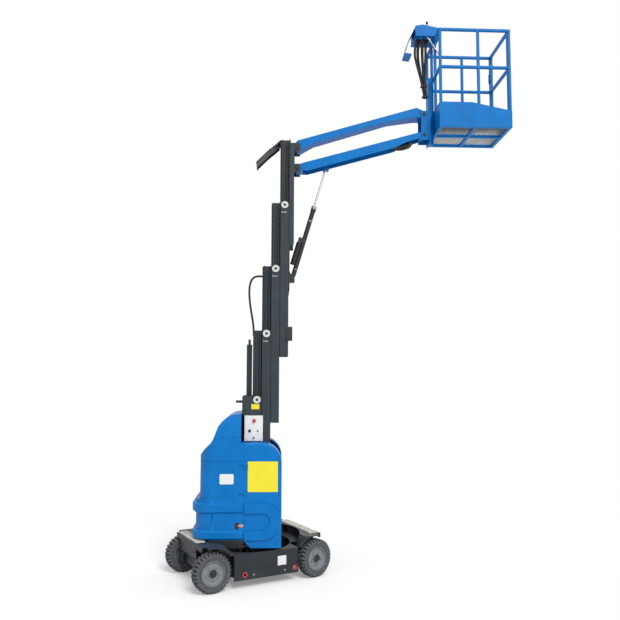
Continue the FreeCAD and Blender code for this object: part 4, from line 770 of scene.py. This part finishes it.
class LIFT_OT_turret(Making, Operator):
    """Turret base, counterweight, batteries with their caps, and the turning slewing ring"""

    bl_idname = "lift.turret"
    bl_label = "Turret"

    def make(self, context):
        soften("turret_base", "turret", chassis_black(), 0.002, 2)
        soften("counterweight", "turret", cast_grey(), 0.008, 3)
        soften("slewing_ring_turning", "turret", bare_steel(), 0.0015, 2)
        for side, facing in (("left", 1), ("right", -1)):
            soften("battery_pack_" + side, "turret", battery_case(), 0.004, 2)
            made = bmesh.new()
            for x in (0.03, 0.27):
                disc(made, (x, facing * 0.3125, 0.925), (0, 0, 1), 0.012, 0.018, 0.002, 24)
            for number in range(6):
                disc(made, (0.06 + 0.036 * number, facing * 0.285, 0.925), (0, 0, 1), 0.011, 0.006, 0.0015,
                     20)
            put("battery_caps_" + side, made, "turret", black_trim())


# ---- mast


class LIFT_OT_mast(Making, Operator):
    """Five mast sections with their rollers, head and hose guard, rounded and painted"""

    bl_idname = "lift.mast"
    bl_label = "Mast"

    def make(self, context):
        for number in range(1, 6):
            body = "turret" if number == 1 else "mast_%d" % number
            soften("mast_section_%d" % number, body, mast_grey(), sizes().plate_edge, 2)
            if number < 5:
                soften("mast_rollers_%d" % number, body, black_trim(), 0.0012, 2)
        soften("mast_head", "turret", mast_grey(), 0.002, 2)
        soften("hose_guard", "turret", mast_grey(), 0.003, 2)


class LIFT_OT_mast_marks(Making, Operator):
    """Pale rings round the roller axles, their bolts, small plates and the fourth section's lip housing"""

    bl_idname = "lift.mast_marks"
    bl_label = "Mast marks"

    def make(self, context):
        for number in range(1, 5):
            low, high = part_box("mast_rollers_%d" % number)
            x, z = (low.x + high.x) / 2, (low.z + high.z) / 2
            body = "turret" if number == 1 else "mast_%d" % number
            light, dark = bmesh.new(), bmesh.new()
            for face, out, skin in ((low.y, (0, -1, 0), -MAST_SKIN), (high.y, (0, 1, 0), MAST_SKIN)):
                ring(light, (x, face, z), out, 0.0410, 0.0150, 0.0025)
                disc(dark, (x, face, z), out, 0.0145, 0.0030, 0.001, 32)
                hexagon(dark, (x, face + 0.003 * out[1], z), out, 0.0080, 0.005)
                if number > 1:
                    plate(light, (x - 0.008, skin, z - 0.085), (-out[1], 0, 0), (0, 0, 1), 0.060, 0.006,
                          0.001, 0.002)
            put("axle_rings_%d" % number, light, body, pale_ring())
            put("axle_bolts_%d" % number, dark, body, black_trim())
        made = bmesh.new()
        for facing in (1, -1):
            plate(made, (0.069, facing * 0.2221, 1.860), (-facing, 0, 0), (0, 0, 1), 0.088, 0.056, 0.0012,
                  0.004)
        put("head_blank_plates", made, "turret", yellow_plate())
        made = bmesh.new()
        block(made, (0.4050, -0.2320, 2.590), (0.4750, -0.2112, 2.750), 0.004, 2)
        put("lip_housing", made, "mast_4", black_trim())


class LIFT_OT_ground_controls(Making, Operator):
    """Ground control box with its white face, emergency stop, switch, lamp and key"""

    bl_idname = "lift.ground_controls"
    bl_label = "Ground controls"

    def make(self, context):
        soften("ground_control_box", "turret", white_panel(), 0.003, 3)
        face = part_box("ground_control_box")[0].y
        out = (0, -1, 0)
        dark, red, metal = bmesh.new(), bmesh.new(), bmesh.new()
        disc(dark, (0.059, face, 1.710), out, 0.020, 0.004, 0.001, 40)
        disc(red, (0.059, face - 0.004, 1.710), out, 0.010, 0.006, 0.0, 32)
        disc(red, (0.059, face - 0.008, 1.710), out, 0.019, 0.010, 0.004, 40)
        ring(dark, (0.011, face, 1.600), out, 0.0165, 0.010, 0.003)
        disc(dark, (0.011, face, 1.600), out, 0.0120, 0.011, 0.002, 32)
        block(dark, (0.0085, face - 0.020, 1.5905), (0.0135, face - 0.009, 1.6095), 0.0015)
        ring(metal, (0.099, face, 1.600), out, 0.0105, 0.007, 0.003)
        disc(dark, (0.099, face, 1.600), out, 0.0068, 0.005, 0.002, 24)
        ring(metal, (0.056, face, 1.525), out, 0.0125, 0.006, 0.003)
        block(dark, (0.0535, face - 0.018, 1.5115), (0.0585, face - 0.003, 1.5365), 0.001)
        for x in (-0.028, 0.138):
            for z in (1.508, 1.746):
                disc(metal, (x, face, z), out, 0.0045, 0.002, 0.0008, 20)
        put("control_switches", dark, "turret", black_trim(), ("ground_control_knobs",))
        put("stop_button", red, "turret", red_plastic())
        put("control_fittings", metal, "turret", bare_steel())


class LIFT_OT_mast_hose(Making, Operator):
    """The black hose that loops behind the mast"""

    bl_idname = "lift.mast_hose"
    bl_label = "Mast hose"

    def make(self, context):
        curve = bpy.data.curves.new("mast_hose_black", "CURVE")
        curve.dimensions = "3D"
        curve.bevel_depth = 0.012
        curve.bevel_resolution = 6
        curve.resolution_u = 16
        curve.use_fill_caps = True
        line = curve.splines.new("NURBS")
        line.points.add(len(MAST_HOSE) - 1)
        for point, (x, z) in zip(line.points, MAST_HOSE):
            point.co = (x / 1000, HOSE_Y, z / 1000, 1.0)
        line.order_u = 3
        line.use_endpoint_u = True
        curve.materials.append(black_rubber())
        piece = bpy.data.objects.new("mast_hose_black", curve)
        bpy.context.scene.collection.objects.link(piece)
        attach(piece, "mast_3")
        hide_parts("mast_hose")


# ---- jib


def pin_heads(name, x, z, body):
    """Round heads with a bolt on both ends of the two arms' pins."""
    made = bmesh.new()
    for height in (z, z + ARM_SPACING):
        for facing in (1, -1):
            disc(made, (x, facing * PIN_END, height), (0, facing, 0), 0.020, 0.006, 0.0015, 36)
            hexagon(made, (x, facing * (PIN_END + 0.006), height), (0, facing, 0), 0.009, 0.006)
    put(name, made, body, black_trim())


class LIFT_OT_jib(Making, Operator):
    """Top flap, jib bracket, both arms and the jib cylinder"""

    bl_idname = "lift.jib"
    bl_label = "Jib"

    def make(self, context):
        soften("top_flap", "mast_5", black_trim(), 0.0012, 2)
        soften("jib_bracket", "mast_5", mast_grey(), 0.002, 2)
        soften("cylinder_foot", "mast_5", mast_grey(), 0.0015, 2)
        soften("jib_lower_arm", "jib_lower", jib_blue(), 0.0022, 2)
        soften("jib_upper_arm", "jib_upper", jib_blue(), 0.0022, 2)
        soften("jib_cylinder_barrel", "jib_barrel", black_trim(), 0.0015, 2)
        soften("jib_cylinder_rod", "jib_rod", chrome(), 0.001, 2)


class LIFT_OT_jib_marks(Making, Operator):
    """Pin heads at the jib's joints and bands on the jib cylinder"""

    bl_idname = "lift.jib_marks"
    bl_label = "Jib fittings"

    def make(self, context):
        pin_heads("root_pin_heads", ARM_ROOT_X, ARM_ROOT_Z, "mast_5")
        pin_heads("tip_pin_heads", TIP.x, TIP.z, "platform")
        foot, run = Vector(BARREL_FOOT), Vector((math.cos(BARREL_RISE), 0, math.sin(BARREL_RISE)))
        made = bmesh.new()
        collar = [(0.0275, 0.0), (0.0315, 0.002), (0.0315, 0.030), (0.0275, 0.033)]
        strap = [(0.0272, 0.0), (0.0300, 0.001), (0.0300, 0.012), (0.0272, 0.013)]
        for distance, profile in ((0.853, collar), (0.10, strap), (0.70, strap)):
            turned(made, profile, Matrix.Translation(foot + run * distance) @ along(run), 48)
        put("cylinder_bands", made, "jib_barrel", bare_steel())


# ---- platform


def tip(x, y, z):
    return TIP + Vector((x, y, z))


def conduit(made, points, radius, end_radius, pitch=0.008):
    """Ribbed conduit along a line of points: short rings in a row, their girth changing evenly to the end."""
    points = [Vector(point) for point in points]
    for place, (first, second) in enumerate(zip(points, points[1:])):
        way = second - first
        steps = max(2, int(way.length / pitch))
        for number in range(steps):
            share = (place + number / steps) / (len(points) - 1)
            girth = radius + (end_radius - radius) * share
            start = first.lerp(second, number / steps)
            disc(made, start, way, girth, pitch * 0.62, pitch * 0.2, 20)
            disc(made, start, way, girth * 0.86, pitch * 1.3, 0.0, 20)


def bow(points, count=6):
    """Points along a smooth line through the given ones."""
    points = [Vector(point) for point in points]
    line = []
    spans = len(points) - 1
    for i in range(spans):
        before, here = points[max(i - 1, 0)], points[i]
        after, beyond = points[i + 1], points[min(i + 2, spans)]
        for step in range(count):
            t = step / count
            line.append(0.5 * (2 * here + (after - before) * t
                               + (2 * before - 5 * here + 4 * after - beyond) * t * t
                               + (3 * here - before - 3 * after + beyond) * t ** 3))
    return line + [points[-1]]


def tube_bar(made, low, high):
    return block(made, tip(*low), tip(*high), sizes().tube_edge, 3)


def hinge_barrel(made, z, height):
    """One barrel of a gate hinge, standing on z."""
    profile = [(0.0005, 0), (0.008, 0), (0.008, height), (0.0005, height)]
    turned(made, profile, Matrix.Translation(tip(HINGE_X, HINGE_Y, z)), 24)


def toe_board(made, points, y_low, y_high):
    """A board with the given outline in x and z."""
    verts = [made.verts.new(tip(x, y_low, z)) for x, z in points]
    face = made.faces.new(verts)
    raised = bmesh.ops.extrude_face_region(made, geom=[face])["geom"]
    up = [v for v in raised if isinstance(v, bmesh.types.BMVert)]
    bmesh.ops.translate(made, vec=(0, y_high - y_low, 0), verts=up)
    bmesh.ops.recalc_face_normals(made, faces=list({f for v in verts + up for f in v.link_faces}))


# The platform, measured from the lower arm's tip pin.
FLOOR_FRAME, FLOOR_TOP = 0.045, 0.049
RAIL_TOP, RAIL_MID = FLOOR_TOP + 1.138, FLOOR_TOP + 0.690
DECK_NEAR, DECK_FAR, DECK_SIDE, POST_MID = 0.125, 0.967, 0.366, 0.585
HINGE_X, HINGE_Y, HINGE_HEIGHTS = 0.925, 0.329, (FLOOR_TOP + 0.217, RAIL_MID + 0.120)


class LIFT_OT_guard_rails(Making, Operator):
    """Guard rails, toe boards and gate of the platform, in square tube"""

    bl_idname = "lift.guard_rails"
    bl_label = "Guard rails and gate"

    def make(self, context):
        tube = sizes().rail_tube
        low, toe_low, toe_top = FLOOR_FRAME, FLOOR_TOP + 0.157, FLOOR_TOP + 0.251
        posts = ((DECK_NEAR, DECK_NEAR + tube), (POST_MID - tube / 2, POST_MID + tube / 2),
                 (DECK_FAR - tube, DECK_FAR))
        for side, facing in (("left", 1), ("right", -1)):
            ys = sorted((facing * DECK_SIDE, facing * (DECK_SIDE - tube)))
            made = bmesh.new()
            for near, far in posts:
                tube_bar(made, (near + 0.0006, ys[0] + 0.0007, low),
                         (far - 0.0006, ys[1] - 0.0007, RAIL_TOP - 0.004))
            for top in (RAIL_TOP, RAIL_MID):
                tube_bar(made, (DECK_NEAR, ys[0], top - tube), (DECK_FAR, ys[1], top))
            outer = facing * DECK_SIDE
            inner = facing * (DECK_SIDE - 0.004)
            toe_board(made, [(DECK_NEAR, low), (DECK_FAR, low), (DECK_FAR, toe_low), (0.505, toe_top),
                             (DECK_NEAR, toe_top)], min(outer, inner), max(outer, inner))
            if facing > 0:
                for z in HINGE_HEIGHTS:
                    for lift in (-0.0303, 0.0503):
                        foot = z + lift
                        hinge_barrel(made, foot, 0.030)
                        block(made, tip(HINGE_X, HINGE_Y, foot), tip(0.933, 0.340, foot + 0.030), 0.001)
            put("guard_rails_%s_tube" % side, made, "platform", jib_blue(), ("guard_rails_" + side,))
        made = bmesh.new()
        inner = DECK_SIDE - tube
        for top in (RAIL_TOP, RAIL_MID):
            tube_bar(made, (DECK_NEAR, -inner - 0.004, top - tube), (DECK_NEAR + tube, inner + 0.004, top))
        for y in (-0.09, 0.09):
            tube_bar(made, (DECK_NEAR + 0.0007, y - tube / 2, low),
                     (DECK_NEAR + tube - 0.0007, y + tube / 2, RAIL_TOP - 0.004))
        block(made, tip(DECK_NEAR, -inner, low), tip(DECK_NEAR + 0.004, inner, toe_top), 0.001)
        put("guard_rails_back_tube", made, "platform", jib_blue(), ("guard_rails_back",))
        made = bmesh.new()
        half = DECK_SIDE - tube - 0.006
        bottom = FLOOR_TOP + 0.021
        for facing in (1, -1):
            ys = sorted((facing * half, facing * (half - tube)))
            tube_bar(made, (DECK_FAR - tube + 0.0007, ys[0], bottom),
                     (DECK_FAR - 0.0007, ys[1], RAIL_TOP - 0.004))
        for top in (RAIL_TOP, RAIL_MID):
            tube_bar(made, (DECK_FAR - tube, -half + 0.0005, top - tube), (DECK_FAR, half - 0.0005, top))
        block(made, tip(DECK_FAR - 0.004, -half, bottom), tip(DECK_FAR, half, toe_low), 0.001)
        for z in HINGE_HEIGHTS:
            hinge_barrel(made, z, 0.050)
            block(made, tip(HINGE_X, half - tube, z), tip(0.933, HINGE_Y, z + 0.050), 0.001)
        put("platform_gate_tube", made, "gate", jib_blue(), ("platform_gate",))


class LIFT_OT_floor(Making, Operator):
    """Platform floor: blue frame tubes and an open bar grating"""

    bl_idname = "lift.floor"
    bl_label = "Platform floor"

    def make(self, context):
        beam, low = 0.040, 0.005
        middle = (DECK_NEAR + DECK_FAR) / 2
        made = bmesh.new()
        for ys in ((-DECK_SIDE, beam - DECK_SIDE), (-beam / 2, beam / 2), (DECK_SIDE - beam, DECK_SIDE)):
            block(made, tip(DECK_NEAR, ys[0], low), tip(DECK_FAR, ys[1], low + beam), 0.004, 2)
        for xs in ((DECK_NEAR, DECK_NEAR + beam), (middle - beam / 2, middle + beam / 2),
                   (DECK_FAR - beam, DECK_FAR)):
            block(made, tip(xs[0] + 0.0006, 0.001 - DECK_SIDE, low + 0.0007),
                  tip(xs[1] - 0.0006, DECK_SIDE - 0.001, low + beam - 0.0007), 0.004, 2)
        put("floor_frame_tube", made, "platform", jib_blue(), ("platform_floor",))
        made = bmesh.new()
        tube = sizes().rail_tube
        pitch = sizes().grate_pitch
        inner = DECK_SIDE - tube
        count = int(2 * inner / pitch)
        for number in range(count + 1):
            y = -inner + 0.002 + (2 * inner - 0.004) * number / count
            block(made, tip(DECK_NEAR + tube, y - 0.0015, FLOOR_TOP - 0.022),
                  tip(DECK_FAR - tube, y + 0.0015, FLOOR_TOP))
        crossings = int((DECK_FAR - DECK_NEAR - 2 * tube) / 0.06)
        for number in range(crossings + 1):
            x = DECK_NEAR + tube + 0.003 + (DECK_FAR - DECK_NEAR - 2 * tube - 0.006) * number / crossings
            block(made, tip(x - 0.0025, -inner, FLOOR_TOP - 0.0060),
                  tip(x + 0.0025, inner, FLOOR_TOP - 0.0005))
        put("floor_grating", made, "platform", galvanised())


class LIFT_OT_console(Making, Operator):
    """Platform post, console with its shield and sticks, conduits at the post and the arm, and the strut"""

    bl_idname = "lift.console"
    bl_label = "Post and console"

    def make(self, context):
        soften("platform_post", "platform", jib_blue(), 0.003, 2)
        soften("platform_console", "platform", jib_blue(), 0.003, 2)
        soften("console_sticks", "platform", black_trim(), 0.002, 2)
        made = bmesh.new()
        for top, bend, middle, y, thick in ((1.940, 1.930, 1.995, -0.078, 0.016),
                                            (1.975, 1.968, 2.010, -0.060, 0.020),
                                            (2.020, 2.016, 2.030, -0.080, 0.022),
                                            (2.062, 2.058, 2.044, -0.066, 0.018)):
            low = 2.052 + 0.25 * (top - 2.0)
            line = [(top + 0.02, y + 0.02, 6.222), (top, y, 6.150), (bend, y, 6.000), (middle, y, 5.720),
                    (low, y, 5.495)]
            conduit(made, bow(line), thick, 0.012)
        for z, x, reach in ((5.640, 2.000, 0.072), (5.510, 2.018, 0.060)):
            block(made, (x - 0.006, -0.100, z - 0.010), (x + reach, -0.040, z + 0.010), 0.003)
        put("post_conduit", made, "platform", black_rubber())
        made = bmesh.new()
        for y in (-0.048, 0.0, 0.048):
            conduit(made, bow([(1.660, y, 4.915), (1.740, y, 4.905), (1.820, y, 4.918), (1.885, y, 4.952)]),
                    0.019, 0.015)
        block(made, (1.690, -0.070, 4.888), (1.712, 0.070, 4.945), 0.003)
        block(made, (1.850, -0.070, 4.920), (1.872, 0.070, 4.985), 0.003)
        put("arm_conduit", made, "jib_lower", black_rubber())
        made = bmesh.new()
        way = Vector((0.183, 0.0, -0.279))
        disc(made, (2.052, -0.120, 6.262), way, 0.010, way.length, 0.0015, 20)
        put("console_strut", made, "platform", bare_steel())


# ---- stage

# The room's light on the lift, the floor's own light to the camera, and where the floor turns plain white.
ROOM_LIGHT = 0.50
FLOOR_LIFT = 0.22
SHADOW_FROM, SHADOW_TO = 1.6, 4.0


class LIFT_OT_stage(Making, Operator):
    """Pale floor, soft light and the camera at the photograph's angle"""

    bl_idname = "lift.stage"
    bl_label = "Stage"

    def make(self, context):
        scene = context.scene
        scene.view_settings.view_transform = "Standard"
        camera = bpy.data.cameras.new("camera")
        camera.sensor_width = 36.0
        camera.lens = 39.64
        camera.clip_end = 200.0
        stand = bpy.data.objects.new("camera", camera)
        stand.location = (0.326, -7.876, 2.248)
        stand.rotation_euler = (math.radians(90 + 5.16), math.radians(-0.15), math.radians(-2.61))
        scene.collection.objects.link(stand)
        scene.camera = stand
        for name, way, power, spread in (("key", (0.26, -0.68, 0.69), 2.25, 26.0),
                                         ("fill", (-0.60, -0.70, 0.40), 0.25, 60.0)):
            lamp = bpy.data.lights.new(name, "SUN")
            lamp.energy = power
            lamp.angle = math.radians(spread)
            light = bpy.data.objects.new(name, lamp)
            light.location = tuple(10.0 * share for share in way)
            light.rotation_euler = (-Vector(way)).to_track_quat("-Z", "Y").to_euler()
            scene.collection.objects.link(light)
        world = bpy.data.worlds.new("pale_room")
        scene.world = world
        world.use_nodes = True
        tree = world.node_tree
        sky = tree.nodes["Background"]
        rays = tree.nodes.new("ShaderNodeLightPath").outputs
        seen = calculated(tree, "MAXIMUM", rays["Is Camera Ray"], rays["Is Glossy Ray"])
        clear = calculated(tree, "MAXIMUM", seen, rays["Is Transmission Ray"])
        level = tree.nodes.new("ShaderNodeMapRange")
        level.inputs["To Min"].default_value = ROOM_LIGHT
        level.inputs["To Max"].default_value = 1.0
        tree.links.new(clear, level.inputs["Value"])
        sky.inputs["Color"].default_value = (1, 1, 1, 1)
        tree.links.new(level.outputs["Result"], sky.inputs["Strength"])
        made = bmesh.new()
        bmesh.ops.create_circle(made, cap_ends=True, segments=96, radius=60.0)
        mesh = bpy.data.meshes.new("floor")
        made.to_mesh(mesh)
        made.free()
        floor = bpy.data.objects.new("floor", mesh)
        scene.collection.objects.link(floor)
        mesh.materials.append(floor_finish())


def floor_finish():
    """White floor: it keeps the object's soft shadow and is plain white further out."""
    material = bpy.data.materials.new("floor_white")
    material.use_nodes = True
    tree = material.node_tree
    tree.nodes.remove(tree.nodes["Principled BSDF"])
    output = tree.nodes["Material Output"]
    place = tree.nodes.new("ShaderNodeTexCoord")
    far = tree.nodes.new("ShaderNodeVectorMath")
    far.operation = "LENGTH"
    tree.links.new(place.outputs["Object"], far.inputs[0])
    fade = tree.nodes.new("ShaderNodeMapRange")
    fade.inputs["From Min"].default_value = SHADOW_FROM
    fade.inputs["From Max"].default_value = SHADOW_TO
    tree.links.new(far.outputs["Value"], fade.inputs["Value"])
    camera = tree.nodes.new("ShaderNodeLightPath").outputs["Is Camera Ray"]
    seen = calculated(tree, "MULTIPLY", fade.outputs["Result"], camera)
    near = tree.nodes.new("ShaderNodeBsdfDiffuse")
    near.inputs["Color"].default_value = (0.80, 0.80, 0.80, 1)
    lift = tree.nodes.new("ShaderNodeEmission")
    tree.links.new(calculated(tree, "MULTIPLY", camera, FLOOR_LIFT), lift.inputs["Strength"])
    both = tree.nodes.new("ShaderNodeAddShader")
    tree.links.new(near.outputs["BSDF"], both.inputs[0])
    tree.links.new(lift.outputs["Emission"], both.inputs[1])
    white = tree.nodes.new("ShaderNodeEmission")
    blend = tree.nodes.new("ShaderNodeMixShader")
    tree.links.new(seen, blend.inputs["Fac"])
    tree.links.new(both.outputs["Shader"], blend.inputs[1])
    tree.links.new(white.outputs["Emission"], blend.inputs[2])
    tree.links.new(blend.outputs["Shader"], output.inputs["Surface"])
    return material


class LIFT_PT_panel(Panel):
    """Sizes, colours and making steps of the mast lift"""

    bl_idname = "LIFT_PT_panel"
    bl_label = "Mast Lift"
    bl_space_type = "VIEW_3D"
    bl_region_type = "UI"
    bl_category = "Mast Lift"

    def draw(self, context):
        layout = self.layout
        for group in (context.scene.lift_sizes, context.scene.lift_colours):
            box = layout.box()
            for key in group.__annotations__:
                box.prop(group, key)
        for step in STEPS:
            layout.operator(step.bl_idname)


STEPS = (LIFT_OT_stage, LIFT_OT_mast_hose, LIFT_OT_hood, LIFT_OT_hood_marks, LIFT_OT_wheels, LIFT_OT_chassis,
         LIFT_OT_chassis_marks, LIFT_OT_turret, LIFT_OT_mast, LIFT_OT_mast_marks, LIFT_OT_ground_controls,
         LIFT_OT_jib, LIFT_OT_jib_marks, LIFT_OT_guard_rails, LIFT_OT_floor, LIFT_OT_console)
CLASSES = (LiftSizes, LiftColours, *STEPS, LIFT_PT_panel)


def register():
    for item in CLASSES:
        bpy.utils.register_class(item)
    bpy.types.Scene.lift_sizes = PointerProperty(type=LiftSizes)
    bpy.types.Scene.lift_colours = PointerProperty(type=LiftColours)


def unregister():
    del bpy.types.Scene.lift_colours
    del bpy.types.Scene.lift_sizes
    for item in reversed(CLASSES):
        bpy.utils.unregister_class(item)


def main():
    register()
    for step in STEPS:
        group, name = step.bl_idname.split(".")
        getattr(getattr(bpy.ops, group), name)()


if __name__ == "__main__":
    main()
